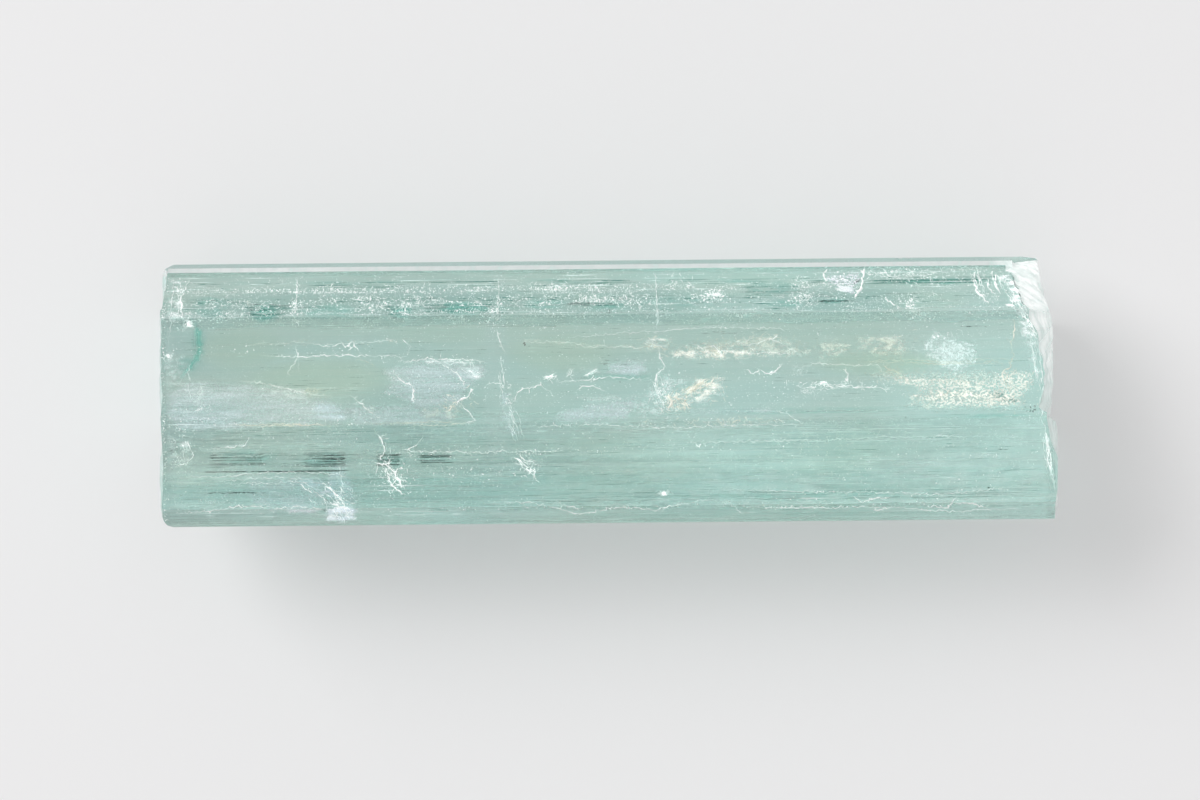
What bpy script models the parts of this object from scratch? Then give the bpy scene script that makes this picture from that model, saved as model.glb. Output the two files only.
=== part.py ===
# Aquamarine crystal: one hexagonal prism of beryl, striated along its length and broken across at both ends.
# It lies on its narrowest prism face. X runs along the crystal and Z is up. The origin is in the middle of its
# length and width, at the level of the resting face. "Back" is +Y and "front" is -Y.

import math

import bmesh
import bpy
import numpy as np
from mathutils import Matrix, Vector, noise

MM = 0.001

# Driving dimensions of the prism
LENGTH = 30.0 * MM
WIDTH = 8.8 * MM
THICKNESS = 7.0 * MM
FACE_ANGLE = math.radians(60)  # between a level prism face and the sloping one next to it
BACK_TOP_INSET = 1.86 * MM  # the top face's back edge, in from the widest point
FRONT_TOP_INSET = 0.58 * MM  # the top face's front edge, in from the widest point

# Narrow facets between the upper and the lower back face
SHELF_INSET = 0.32 * MM
SHELF_WIDTH = 0.20 * MM
SHELF_DROP = 0.09 * MM
WALL_DROP = 0.75 * MM

# Ledges that run the length of a face, and the three terraces of the top face
LEDGE_DEPTH = 0.055 * MM
LEDGE_SPACING = 0.45 * MM
LEDGE_RISE = 0.03 * MM
TERRACE_EDGES = (1.50 * MM, -1.95 * MM, -3.30 * MM)
TERRACE_DROPS = (0.05 * MM, 0.06 * MM, 0.05 * MM)

# Slivers: long pointed hollows along a face, where growth stopped short
SLIVERS_PER_FACE = 6
SLIVER_HALF_LENGTH = (2.0 * MM, 6.0 * MM)
SLIVER_HALF_WIDTH = (0.07 * MM, 0.20 * MM)
SLIVER_DEPTH = (0.03 * MM, 0.07 * MM)

# Nicks along the long edges
NICK_SPACING = 2.1 * MM
NICK_HALF_LENGTH = (0.15 * MM, 0.70 * MM)
NICK_RADIUS = (0.07 * MM, 0.16 * MM)

# Broken ends. Each leans out, from the upper surface down, by its lean over the lean's depth. A span is the
# stretch of Y over which a value comes in.
BREAK_INSET = 0.04 * MM
BREAK_CELL = 0.36 * MM
BREAK_ROUGHNESS = 0.07 * MM
LEAN_DEPTH = 1.5 * MM
LEAN_DEPTH_BACK = 0.40 * MM  # along the back edge, where the crystal is thin
LEAN_DEPTH_SPAN = (2.9 * MM, 4.2 * MM)
LEFT_LEAN = 0.14 * MM
LEFT_CORNER = 0.24 * MM
LEFT_CORNER_SPAN = (3.9 * MM, 4.4 * MM)
RIGHT_LEAN_LEAST = 0.13 * MM
RIGHT_LEAN_FRONT = 0.38 * MM
RIGHT_LEAN_BACK = 0.95 * MM
RIGHT_LEAN_SPAN = (0.4 * MM, 3.6 * MM)
RIGHT_LEAN_START = (-2.9 * MM, -1.5 * MM)
RIGHT_CORNER = 0.34 * MM
RIGHT_CORNER_SPAN = (1.5 * MM, 4.4 * MM)
RIPPLE_HEIGHT = 0.045 * MM
RIPPLE_LENGTH = 0.85 * MM
RIPPLE_MIDDLE_Y = 4.0 * MM

# In front of the step the right end stands out by one more layer
STEP_Y = -0.72 * MM
STEP_SLANT = 0.28
STEP_WANDER = 0.15 * MM
STEP_HEIGHT = 0.14 * MM
STEP_FOOT = 0.8 * MM  # the riser is twice as high at the step and eases off over this width
STEP_CLEAR = 1.2 * MM  # how far the layer's cutter backs off in front of the step

SEED = 11
CRYSTAL_COLOUR = (0.55, 0.80, 0.74, 1.0)
CRYSTAL_ROUGHNESS = 0.12
CRYSTAL_IOR = 1.577


def prism_corners():
    """The cross-section's corners as (y, z), from the top face's back edge forwards and round."""
    run = 1 / math.tan(FACE_ANGLE)
    back, front = WIDTH / 2, -WIDTH / 2
    top_back, top_front = back - BACK_TOP_INSET, front + FRONT_TOP_INSET
    shelf_z = THICKNESS - (BACK_TOP_INSET - SHELF_INSET) / run
    shelf_end = (back - SHELF_INSET + SHELF_WIDTH, shelf_z - SHELF_DROP)
    widest_back_z = shelf_end[1] - WALL_DROP
    widest_front_z = THICKNESS - FRONT_TOP_INSET / run
    return [
        (top_back, THICKNESS),
        (top_front, THICKNESS),
        (front, widest_front_z),
        (front + widest_front_z * run, 0),
        (back - widest_back_z * run, 0),
        (back, widest_back_z),
        shelf_end,
        (back - SHELF_INSET, shelf_z),
    ]


def ledges(start, end, random):
    """Points from start up to end, sunk into the face by a depth that changes from ledge to ledge."""
    start, end = Vector(start), Vector(end)
    along = end - start
    inward = Vector((-along.y, along.x)).normalized()
    count = int(along.length / LEDGE_SPACING)
    points = [start]
    if count < 2:
        return points
    places = (np.arange(1, count) + random.uniform(-0.3, 0.3, count - 1)) / count
    depths = np.append(random.uniform(0, LEDGE_DEPTH, count - 2), 0)
    half_rise = LEDGE_RISE / 2 / along.length
    depth = 0
    for place, next_depth in zip(places, depths):
        points.append(start + along * (place - half_rise) + inward * depth)
        points.append(start + along * (place + half_rise) + inward * next_depth)
        depth = next_depth
    return points


def terraced(points):
    """The top face's points, lowered by one more drop in front of each terrace edge."""
    for point in points:
        if point.y > THICKNESS / 2:
            passed = [drop for edge, drop in zip(TERRACE_EDGES, TERRACE_DROPS) if point.x < edge]
            point.y -= sum(passed)
    return points


def cross_section(random):
    corners = prism_corners()
    outline = []
    for start, end in zip(corners, corners[1:] + corners[:1]):
        resting = start[1] == 0 and end[1] == 0
        outline += [Vector(start)] if resting else ledges(start, end, random)
    return terraced(outline)


def prism(name, outline, collection):
    """The outline swept along X, as a closed mesh."""
    curve = bpy.data.curves.new(name, "CURVE")
    curve.dimensions = "2D"
    curve.fill_mode = "BOTH"
    curve.extrude = LENGTH / 2
    spline = curve.splines.new("POLY")
    spline.points.add(len(outline) - 1)
    for point, place in zip(spline.points, outline):
        point.co = (place.x, place.y, 0, 1)
    spline.use_cyclic_u = True
    guide = bpy.data.objects.new(name + "_outline", curve)
    collection.objects.link(guide)
    graph = bpy.context.evaluated_depsgraph_get()
    mesh = bpy.data.meshes.new_from_object(guide.evaluated_get(graph))
    bpy.data.objects.remove(guide)
    bm = bmesh.new()
    bm.from_mesh(mesh)
    bmesh.ops.remove_doubles(bm, verts=bm.verts, dist=0.001 * MM)
    outline_to_crystal = Matrix(((0, 0, 1, 0), (1, 0, 0, 0), (0, 1, 0, 0), (0, 0, 0, 1)))
    bm.transform(outline_to_crystal)
    bmesh.ops.recalc_face_normals(bm, faces=bm.faces)
    bm.to_mesh(mesh)
    bm.free()
    mesh.name = name
    solid = bpy.data.objects.new(name, mesh)
    collection.objects.link(solid)
    return solid


def cutter(name, bm, collection):
    mesh = bpy.data.meshes.new(name)
    bm.to_mesh(mesh)
    bm.free()
    tool = bpy.data.objects.new(name, mesh)
    tool.hide_render = True
    tool.display_type = "WIRE"
    collection.objects.link(tool)
    return tool


def ellipsoid(name, centre, half_sizes, turn, collection, detail=2):
    """A hollow's cutter: a ball stretched to its half sizes, turned, and moved to its centre."""
    bm = bmesh.new()
    bmesh.ops.create_icosphere(bm, subdivisions=detail, radius=1)
    size = Matrix.Diagonal((*half_sizes, 1))
    bm.transform(Matrix.Translation(centre) @ turn.to_4x4() @ size)
    return cutter(name, bm, collection)


def fracture(name, surface, outside_x, collection):
    """A broken end's cutter: everything from surface(y, z) out to outside_x."""
    margin = 0.6 * MM
    columns = int((WIDTH + 2 * margin) / BREAK_CELL)
    rows = int((THICKNESS + 2 * margin) / BREAK_CELL)
    bm = bmesh.new()
    bmesh.ops.create_grid(bm, x_segments=columns, y_segments=rows, size=1)
    for vert in bm.verts:
        y = vert.co.x * (WIDTH / 2 + margin)
        z = THICKNESS / 2 + vert.co.y * (THICKNESS / 2 + margin)
        vert.co = (surface(y, z), y, z)
    outer = bmesh.ops.extrude_face_region(bm, geom=bm.faces[:])
    for item in outer["geom"]:
        if isinstance(item, bmesh.types.BMVert):
            item.co.x = outside_x
    bmesh.ops.recalc_face_normals(bm, faces=bm.faces)
    return cutter(name, bm, collection)


def roughness(y, z, seed):
    """Hackly relief of a break, about one unit high each way."""
    coarse = noise.noise(Vector((y / (1.7 * MM), z / (1.7 * MM), seed)))
    fine = noise.noise(Vector((y / (0.6 * MM), z / (0.6 * MM), seed + 5)))
    return coarse + 0.6 * fine


def ease(value):
    """0 below 0, 1 above 1, and a smooth rise between."""
    value = min(max(value, 0), 1)
    return value * value * (3 - 2 * value)


def along_span(value, span):
    """How far a value has come along a span, from 0 to 1, eased."""
    return ease((value - span[0]) / (span[1] - span[0]))


def depth_below_top(y, z):
    """How far a point lies under the upper surface: the top face and the two sloping faces beside it."""
    slope = math.tan(FACE_ANGLE)
    past_back = y - (WIDTH / 2 - BACK_TOP_INSET)
    past_front = -WIDTH / 2 + FRONT_TOP_INSET - y
    return THICKNESS - max(past_back, past_front, 0) * slope - z


def lean_remaining(y, z):
    """How much of a lean is left at a point, from 1 on the upper surface to 0 at the lean's depth."""
    lean_depth = LEAN_DEPTH + (LEAN_DEPTH_BACK - LEAN_DEPTH) * along_span(y, LEAN_DEPTH_SPAN)
    return 1 - ease(depth_below_top(y, z) / lean_depth)


def left_break(y, z):
    lean = LEFT_LEAN * lean_remaining(y, z)
    corners = LEFT_CORNER * along_span(abs(y), LEFT_CORNER_SPAN)
    return -LENGTH / 2 + BREAK_INSET + lean + corners + BREAK_ROUGHNESS * roughness(y, z, 1)


def right_break(y, z):
    """Shell-like: ripples spread over it from the top face's back corner."""
    lean = RIGHT_LEAN_FRONT + (RIGHT_LEAN_BACK - RIGHT_LEAN_FRONT) * along_span(y, RIGHT_LEAN_SPAN)
    lean = max(lean * along_span(y, RIGHT_LEAN_START), RIGHT_LEAN_LEAST) * lean_remaining(y, z)
    corner = RIGHT_CORNER * along_span(y, RIGHT_CORNER_SPAN)
    reach = math.hypot(y - RIPPLE_MIDDLE_Y, z - THICKNESS)
    ripple = RIPPLE_HEIGHT * math.sin(2 * math.pi * reach / RIPPLE_LENGTH)
    return LENGTH / 2 - BREAK_INSET - lean - corner + ripple + BREAK_ROUGHNESS * roughness(y, z, 2)


def right_layer(y, z):
    """The back part of the right end, one layer shorter, with a riser that slants away from the top."""
    wander = STEP_WANDER * noise.noise(Vector((0, 0, z / MM)))
    from_step = y - STEP_Y + STEP_SLANT * (THICKNESS - z) - wander
    height = STEP_HEIGHT * (1 + ease(1 - from_step / STEP_FOOT)) * ease(0.3 + z / THICKNESS)
    clear = STEP_CLEAR * (1 - ease(from_step / BREAK_CELL + 1))
    return right_break(y, z) - height + clear


def face_frame(start, end):
    """A prism face's middle, and the turn that puts X along the crystal and Z straight out of the face."""
    start, end = Vector((0, *start)), Vector((0, *end))
    across = (start - end).normalized()
    out = Vector((1, 0, 0)).cross(across)
    turn = Matrix((Vector((1, 0, 0)), across, out)).transposed()
    return (start + end) / 2, across * ((end - start).length / 2), turn


def slivers(corners, random, collection):
    tools = []
    for number, (start, end) in enumerate(zip(corners, corners[1:] + corners[:1])):
        middle, half_across, turn = face_frame(start, end)
        resting = start[1] == 0 and end[1] == 0
        if resting or half_across.length < 0.5 * MM:
            continue
        for place in range(SLIVERS_PER_FACE):
            x = LENGTH * random.uniform(-0.42, 0.42)
            share = (2 * place + 1) / SLIVERS_PER_FACE - 1 + random.uniform(-0.12, 0.12)
            depth = random.uniform(*SLIVER_DEPTH)
            half_height = 2 * LEDGE_DEPTH + depth
            centre = middle + half_across * share + Vector((x, 0, 0))
            centre += turn @ Vector((0, 0, half_height - depth - LEDGE_DEPTH))
            sizes = (random.uniform(*SLIVER_HALF_LENGTH), random.uniform(*SLIVER_HALF_WIDTH), half_height)
            name = f"sliver_{number}_{place}"
            tools.append(ellipsoid(name, centre, sizes, turn, collection))
    return tools


def nicks(corners, random, collection):
    """Small flaked hollows along every long edge that doesn't touch the ground."""
    tools = []
    for number, (y, z) in enumerate(corners):
        if z == 0:
            continue
        for place in range(int(LENGTH / NICK_SPACING)):
            x = -LENGTH / 2 + NICK_SPACING * (place + random.uniform(0.2, 0.8))
            radius = random.uniform(*NICK_RADIUS)
            sizes = (random.uniform(*NICK_HALF_LENGTH), radius, radius)
            turn = Matrix.Rotation(random.uniform(-0.12, 0.12), 3, "Z")
            name = f"nick_{number}_{place}"
            tools.append(ellipsoid(name, Vector((x, y, z)), sizes, turn, collection, detail=1))
    return tools


def chips(collection):
    """The larger chips, each where it lies on the crystal."""
    flat = Matrix.Identity(3)
    back_slope = Matrix.Rotation(-FACE_ANGLE, 3, "X")
    places = {
        "chip_shell": ((7.95, 3.55, 5.62), (0.55, 0.50, 0.30), back_slope),
        "chip_oval": ((3.55, 3.15, 6.10), (0.33, 0.16, 0.14), back_slope),
        "chip_cluster": ((10.05, 2.80, 6.70), (0.28, 0.20, 0.12), back_slope),
        "chip_left_edge": ((-13.95, 2.38, 7.02), (0.24, 0.20, 0.18), flat),
        "chip_left_top": ((-14.62, 1.32, 7.04), (0.20, 0.16, 0.18), flat),
        "chip_left_front": ((-14.98, -4.10, 6.60), (0.26, 0.24, 0.45), flat),
        "chip_left_back": ((-15.00, 4.30, 4.15), (0.28, 0.20, 0.50), flat),
        "chip_front_edge": ((-8.90, -3.95, 6.85), (0.62, 0.28, 0.22), flat),
        "chip_right_scoop": ((13.20, 3.50, 5.62), (0.34, 0.42, 0.20), back_slope),
        "chip_right_arc": ((12.55, 3.45, 5.70), (0.30, 0.34, 0.20), back_slope),
    }
    return [
        ellipsoid(name, Vector(centre) * MM, [size * MM for size in sizes], turn, collection)
        for name, (centre, sizes, turn) in places.items()
    ]


def crystal_material():
    material = bpy.data.materials.new("aquamarine")
    material.use_nodes = True
    shader = material.node_tree.nodes["Principled BSDF"]
    shader.inputs["Base Color"].default_value = CRYSTAL_COLOUR
    shader.inputs["Roughness"].default_value = CRYSTAL_ROUGHNESS
    shader.inputs["Metallic"].default_value = 0
    shader.inputs["IOR"].default_value = CRYSTAL_IOR
    shader.inputs["Transmission Weight"].default_value = 1
    return material


def new_collection(name):
    collection = bpy.data.collections.new(name)
    bpy.context.scene.collection.children.link(collection)
    return collection


def main():
    for old in list(bpy.data.objects):
        bpy.data.objects.remove(old)
    parts = new_collection("aquamarine")
    cutters = new_collection("aquamarine_cutters")
    cutters.hide_render = True
    random = np.random.default_rng(SEED)

    crystal = prism("aquamarine_crystal", cross_section(random), parts)
    crystal.data.materials.clear()
    crystal.data.materials.append(crystal_material())

    outside_x = LENGTH / 2 + 2 * MM
    tools = slivers(prism_corners(), random, cutters)
    tools += nicks(prism_corners(), random, cutters)
    tools += chips(cutters)
    tools.append(fracture("left_break", left_break, -outside_x, cutters))
    tools.append(fracture("right_break", right_break, outside_x, cutters))
    tools.append(fracture("right_layer", right_layer, outside_x, cutters))
    for tool in tools:
        cut = crystal.modifiers.new(tool.name, "BOOLEAN")
        cut.operation = "DIFFERENCE"
        cut.solver = "EXACT"
        cut.object = tool


main()
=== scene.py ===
# Aquamarine crystal on a pale table: a striated prism of clear beryl with cracks, veils and needles inside.
import math

import bpy
import numpy as np
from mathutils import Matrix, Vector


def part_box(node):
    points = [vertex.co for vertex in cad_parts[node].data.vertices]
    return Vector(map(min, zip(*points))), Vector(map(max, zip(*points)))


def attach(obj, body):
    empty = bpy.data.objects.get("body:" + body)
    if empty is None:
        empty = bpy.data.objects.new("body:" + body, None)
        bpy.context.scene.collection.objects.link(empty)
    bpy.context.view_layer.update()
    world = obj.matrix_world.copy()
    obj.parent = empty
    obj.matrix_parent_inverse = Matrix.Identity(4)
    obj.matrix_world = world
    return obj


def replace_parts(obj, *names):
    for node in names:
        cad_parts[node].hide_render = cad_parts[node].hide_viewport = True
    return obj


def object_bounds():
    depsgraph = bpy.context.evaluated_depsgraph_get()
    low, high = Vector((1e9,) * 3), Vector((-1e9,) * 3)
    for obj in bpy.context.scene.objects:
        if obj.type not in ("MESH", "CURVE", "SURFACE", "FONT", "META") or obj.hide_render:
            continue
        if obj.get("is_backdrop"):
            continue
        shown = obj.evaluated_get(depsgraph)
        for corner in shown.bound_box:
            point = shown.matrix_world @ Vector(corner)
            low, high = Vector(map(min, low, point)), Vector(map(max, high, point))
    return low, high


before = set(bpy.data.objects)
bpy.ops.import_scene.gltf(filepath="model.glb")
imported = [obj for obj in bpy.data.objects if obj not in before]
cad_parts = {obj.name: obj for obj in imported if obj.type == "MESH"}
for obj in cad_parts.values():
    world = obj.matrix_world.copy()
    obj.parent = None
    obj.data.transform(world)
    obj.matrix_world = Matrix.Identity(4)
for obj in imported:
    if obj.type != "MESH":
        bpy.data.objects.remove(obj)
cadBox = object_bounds()
low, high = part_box("aquamarine_crystal")
mm = 0.001
length, width, thickness = high.x - low.x, high.y - low.y, high.z - low.z
print("frame loaded:", [round(side / mm, 2) for side in (length, width, thickness)], "mm")

# camera, light and table; lengths are in metres, and the sensor in mm

view = {
    "pixelsPerMm": 29.85,        # at the crystal's widest level
    "imageWidth": 1200,
    "distance": 200 * mm,
    "widestLevel": 5 * mm,
    "aim": (-0.30 * mm, -0.30 * mm),  # the point of the crystal's plan at the image's middle
    "roll": -0.55,               # degrees about the line of sight
    "sensor": 36,
    "clip": (0.01, 50),
}


def makeCamera():
    # looks straight down; the focal length follows from the pixels in a millimetre
    data = bpy.data.cameras.new("overhead")
    data.sensor_width = view["sensor"]
    data.lens = view["sensor"] * view["distance"] / (view["imageWidth"] / view["pixelsPerMm"] * mm)
    data.clip_start, data.clip_end = view["clip"]
    camera = bpy.data.objects.new("overhead", data)
    camera.location = (*view["aim"], view["distance"] + view["widestLevel"])
    camera.rotation_euler = (0, 0, math.radians(view["roll"]))
    bpy.context.scene.collection.objects.link(camera)
    bpy.context.scene.camera = camera


studio = {
    "sky": 0.60,
    "panelWatts": 4.50,
    "panelSize": 0.52,
    "panelPlace": (-0.53, 0.34, 0.62),
    "tableColour": (0.62, 0.615, 0.62),
    "tableRoughness": 0.6,
    "tableGlow": 0.22,           # light that has spread sideways through the pale stone
    "tableSize": 1.2,
    "tableGap": 0.01 * mm,
}


def makeLights():
    # an even white sky and one large soft panel at the upper left
    world = bpy.data.worlds.new("studio")
    bpy.context.scene.world = world
    world.use_nodes = True
    background = world.node_tree.nodes["Background"]
    background.inputs["Color"].default_value = (1, 1, 1, 1)
    background.inputs["Strength"].default_value = studio["sky"]
    data = bpy.data.lights.new("panel", "AREA")
    data.shape = "SQUARE"
    data.size = studio["panelSize"]
    data.energy = studio["panelWatts"]
    panel = bpy.data.objects.new("panel", data)
    panel.location = studio["panelPlace"]
    panel.rotation_euler = (-panel.location).to_track_quat("-Z", "Y").to_euler()
    bpy.context.scene.collection.objects.link(panel)



class Wire:
    # one value on its way between nodes; an expression on wires adds its Math nodes
    def __init__(self, bench, socket):
        self.bench, self.socket = bench, socket

    def math(self, operation, first, second, clamp=False):
        settings = {"operation": operation, "use_clamp": clamp}
        return self.bench.add("ShaderNodeMath", settings, {0: first, 1: second})

    def __add__(self, other):
        return self.math("ADD", self, other)

    def __sub__(self, other):
        return self.math("SUBTRACT", self, other)

    def __rsub__(self, other):
        return self.math("SUBTRACT", other, self)

    def __mul__(self, other):
        return self.math("MULTIPLY", self, other)

    __radd__, __rmul__ = __add__, __mul__

    def clamped(self):
        return self.math("ADD", self, 0.0, clamp=True)

    def rise(self, start, end):
        # 0 up to start, 1 from end on, and an even curve between; it falls where end is below start
        return self.bench.add("ShaderNodeMapRange", {"interpolation_type": "SMOOTHSTEP"},
                              {"Value": self, "From Min": start, "From Max": end})


class Bench:
    # one material's nodes
    def __init__(self, name):
        self.material = bpy.data.materials.new(name)
        self.material.use_nodes = True
        self.tree = self.material.node_tree
        self.tree.nodes.clear()
        self.output = self.tree.nodes.new("ShaderNodeOutputMaterial")

    def add(self, kind, settings=None, sockets=None, out=0):
        node = self.tree.nodes.new(kind)
        for key, value in (settings or {}).items():
            setattr(node, key, value)
        for key, value in (sockets or {}).items():
            if isinstance(value, Wire):
                self.tree.links.new(value.socket, node.inputs[key])
            else:
                node.inputs[key].default_value = value
        return Wire(self, node.outputs[out])

    def place(self, scale=(1, 1, 1)):
        # object coordinates in millimetres, stretched
        where = self.add("ShaderNodeTexCoord", out="Object")
        sizes = tuple(value / mm for value in scale)
        return self.add("ShaderNodeMapping", sockets={"Vector": where, "Scale": sizes})

    def split(self, vector, axis):
        return self.add("ShaderNodeSeparateXYZ", sockets={"Vector": vector}, out=axis)

    def noise(self, scale, detail, rough=0.55):
        # cloud noise from about 0 to 1, one lump to a unit of the stretched place
        return self.add("ShaderNodeTexNoise", sockets={
            "Vector": self.place(scale), "Scale": 1.0, "Detail": detail, "Roughness": rough})

    def colour(self, value):
        return value if isinstance(value, Wire) else (*value, 1)

    def blend(self, share, first, second):
        # two colours mixed by a share from 0 to 1
        return self.add("ShaderNodeMix", {"data_type": "RGBA"},
                        {"Factor": share, 6: self.colour(first), 7: self.colour(second)}, out=2)

    def attribute(self, name):
        return self.add("ShaderNodeAttribute", {"attribute_name": name}, out="Fac")

    def bump(self, height, distance, strength):
        sockets = {"Height": height, "Distance": distance, "Strength": strength}
        return self.add("ShaderNodeBump", sockets=sockets)

    def finish(self, sockets, absorption=None):
        shader = self.add("ShaderNodeBsdfPrincipled", sockets=sockets)
        self.tree.links.new(shader.socket, self.output.inputs["Surface"])
        if absorption:
            inside = self.add("ShaderNodeVolumeAbsorption", sockets=absorption)
            self.tree.links.new(inside.socket, self.output.inputs["Volume"])
        return self.material



def ease(value):
    # 3t^2 - 2t^3 with t held between 0 and 1
    held = np.clip(value, 0, 1)
    return held * held * (3 - 2 * held)


def alongSpan(value, span):
    # how far a value has come along a span, from 0 to 1, eased
    return ease((value - span[0]) / (span[1] - span[0]))


def waves(points, wavelength, seed, count=14):
    # noise of about one unit each way: a sum of sine waves near one wavelength, in random directions
    random = np.random.default_rng(seed)
    ways = random.normal(size=(count, points.shape[-1]))
    ways /= np.linalg.norm(ways, axis=1)[:, None] * wavelength * random.uniform(0.6, 1.5, count)[:, None]
    phases = random.uniform(0, 1, count)
    return np.sin(2 * np.pi * (points @ ways.T + phases)).sum(-1) / math.sqrt(count / 2)


def makePiece(name, points, faces, materials, smooth=True, sharpAngle=None, marks=None, slots=None):
    # points in metres, faces as rows of point numbers; marks have a value for each point, slots for each face
    mesh = bpy.data.meshes.new(name)
    mesh.from_pydata(points.tolist(), [], [face for rows in faces for face in rows.tolist()])
    for material in materials:
        mesh.materials.append(material)
    if slots is not None:
        mesh.polygons.foreach_set("material_index", slots.astype(np.int32))
    if smooth:
        mesh.shade_smooth()
    if sharpAngle:
        mesh.set_sharp_from_angle(angle=math.radians(sharpAngle))
    for key, values in (marks or {}).items():
        layer = mesh.attributes.new(key, "FLOAT", "POINT")
        layer.data.foreach_set("value", np.asarray(values, np.float32))
    mesh.update()
    piece = bpy.data.objects.new(name, mesh)
    bpy.context.scene.collection.objects.link(piece)
    return piece


def ringFaces(rows, columns):
    # quads between neighbouring rings, and a fan at each end round a pole; the poles are the last two points
    ring = np.arange(columns)
    row = np.arange(rows - 1)[:, None] * columns
    nextRing = (ring + 1) % columns
    quads = np.stack([row + ring, row + nextRing, row + columns + nextRing, row + columns + ring], -1)
    firstPole, lastPole = rows * columns, rows * columns + 1
    last = (rows - 1) * columns
    start = np.stack([np.full(columns, firstPole), nextRing, ring], -1)
    end = np.stack([np.full(columns, lastPole), last + ring, last + nextRing], -1)
    return [quads.reshape(-1, 4), start, end]


# the crystal's own surface; a span is the stretch of a place over which a value comes in

crystalShape = {
    "faceAngle": math.radians(60),
    "backTopInset": 1.86 * mm,
    "frontTopInset": 0.58 * mm,
    "shelfInset": 0.37 * mm,     # a narrow shelf and a wall along the back
    "shelfWidth": 0.22 * mm,
    "shelfDrop": 0.09 * mm,
    "wallDrop": 0.75 * mm,
    "core": (0.3 * mm, 3.6 * mm),  # y and z of the line inside that the end rings and the hollows aim at
    "coreFromEnds": 3 * mm,
    "across": 0.085 * mm,        # spacing of points round the section
    "alongRows": 246,
    "endRings": 29,
    "endCrowding": 0.8,          # below 1 the end rings lie closer together towards the rim
    "sharpAngle": 26,
}
restingFace, shelfFace, lowerSlopes = 3, 6, (2, 4)  # numbers of the section corners that these faces start at

ledgeShape = {
    "spacing": 0.34 * mm,
    "stray": 0.4,                # how far off its place a ledge may start, as a share of the spacing
    "depth": 0.045 * mm,
    "leastDepth": 0.35,          # share of it that is left where a ledge has run out
    "wander": 0.05 * mm,
    "wanderLength": 7 * mm,
    "slant": 0.002,
    "riser": 0.06 * mm,
    "stops": 0.6,                # a ledge runs out within this share of the length from the middle,
    "stopSpan": 1.2 * mm,        # and over this length
    "rim": 0.14 * mm,            # a face is level this near its edges
    "smallestFace": 0.3 * mm,
    "onLowerSlopes": 1.7,        # how much deeper the ledges are there
    "seed": 5,
}

breakShape = {
    "inset": 0.04 * mm,
    "leanDepth": 1.5 * mm,
    "leanDepthBack": 0.40 * mm,  # along the back edge, where the crystal is thin
    "leanDepthSpan": (2.9 * mm, 4.2 * mm),
    "leftLean": 0.12 * mm,
    "leftCorner": 0.30 * mm,
    "leftCornerSpan": (4.0 * mm, 4.4 * mm),
    "leftRelief": 0.046 * mm,
    "leftRippleHeight": 0.026 * mm,
    "rightLeanLeast": 0.13 * mm,
    "rightLeanFront": 0.38 * mm,
    "rightLeanBack": 0.95 * mm,
    "rightLeanSpan": (0.4 * mm, 3.6 * mm),
    "rightLeanStart": (-2.9 * mm, -1.5 * mm),
    "rightCorner": 0.34 * mm,
    "rightCornerSpan": (1.5 * mm, 4.4 * mm),
    "rightRelief": 0.034 * mm,
    "reliefWaves": ((2.6 * mm, 0.6), (0.8 * mm, 0.3), (0.4 * mm, 0.10)),  # wavelength and share of each size
    "leftSeed": 1,
    "rightSeed": 3,
    "rippleHeight": 0.036 * mm,
    "rippleLength": 0.46 * mm,
    "rippleWidening": 0.85,      # below 1 the ripples widen on their way
    "rippleReach": (6.5 * mm, 1.5 * mm),  # they die out over this span of distance
    "rippleStarts": {"right": (4.0 * mm, thickness, 91), "left": (-3.4 * mm, 0.6 * mm, 95)},  # y, z and seed
    "rippleDrift": 0.20 * mm,
    "rippleDriftLength": 2.4 * mm,
    "stepY": -0.72 * mm,
    "stepSlant": 0.28,
    "stepHeight": 0.14 * mm,
    "stepFoot": 0.8 * mm,        # the riser is twice as high at the step and eases off over this width
    "stepWidth": 0.12 * mm,
}


def sectionCorners():
    # the prism's cross-section (y, z), from the top face's back edge forwards and round
    shape = crystalShape
    slope = math.tan(shape["faceAngle"])
    back, front = width / 2, -width / 2
    shelfZ = thickness - (shape["backTopInset"] - shape["shelfInset"]) * slope
    wallTop = shelfZ - shape["shelfDrop"]
    backZ = wallTop - shape["wallDrop"]
    frontZ = thickness - shape["frontTopInset"] * slope
    return np.array([
        (back - shape["backTopInset"], thickness),
        (front + shape["frontTopInset"], thickness),
        (front, frontZ),
        (front + frontZ / slope, 0),
        (back - backZ / slope, 0),
        (back, backZ),
        (back - shape["shelfInset"] + shape["shelfWidth"], wallTop),
        (back - shape["shelfInset"], shelfZ),
    ])


def sectionPoints():
    # evenly spaced points on each face: place, inward normal, way along it, distance to its ends, face number
    corners = sectionCorners()
    spots, inward, along, toEdge, number = [], [], [], [], []
    for face, (start, end) in enumerate(zip(corners, np.roll(corners, -1, axis=0))):
        run = np.linalg.norm(end - start)
        steps = max(int(round(run / crystalShape["across"])), 2)
        share = np.arange(steps) / steps
        way = (end - start) / run
        spots.append(start + share[:, None] * (end - start))
        inward.append(np.tile((-way[1], way[0]), (steps, 1)))
        along.append(share * run)
        toEdge.append(np.minimum(share, 1 - share) * run)
        number.append(np.full(steps, face))
    return [np.concatenate(rows) for rows in (spots, inward, along, toEdge, number)]


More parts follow.
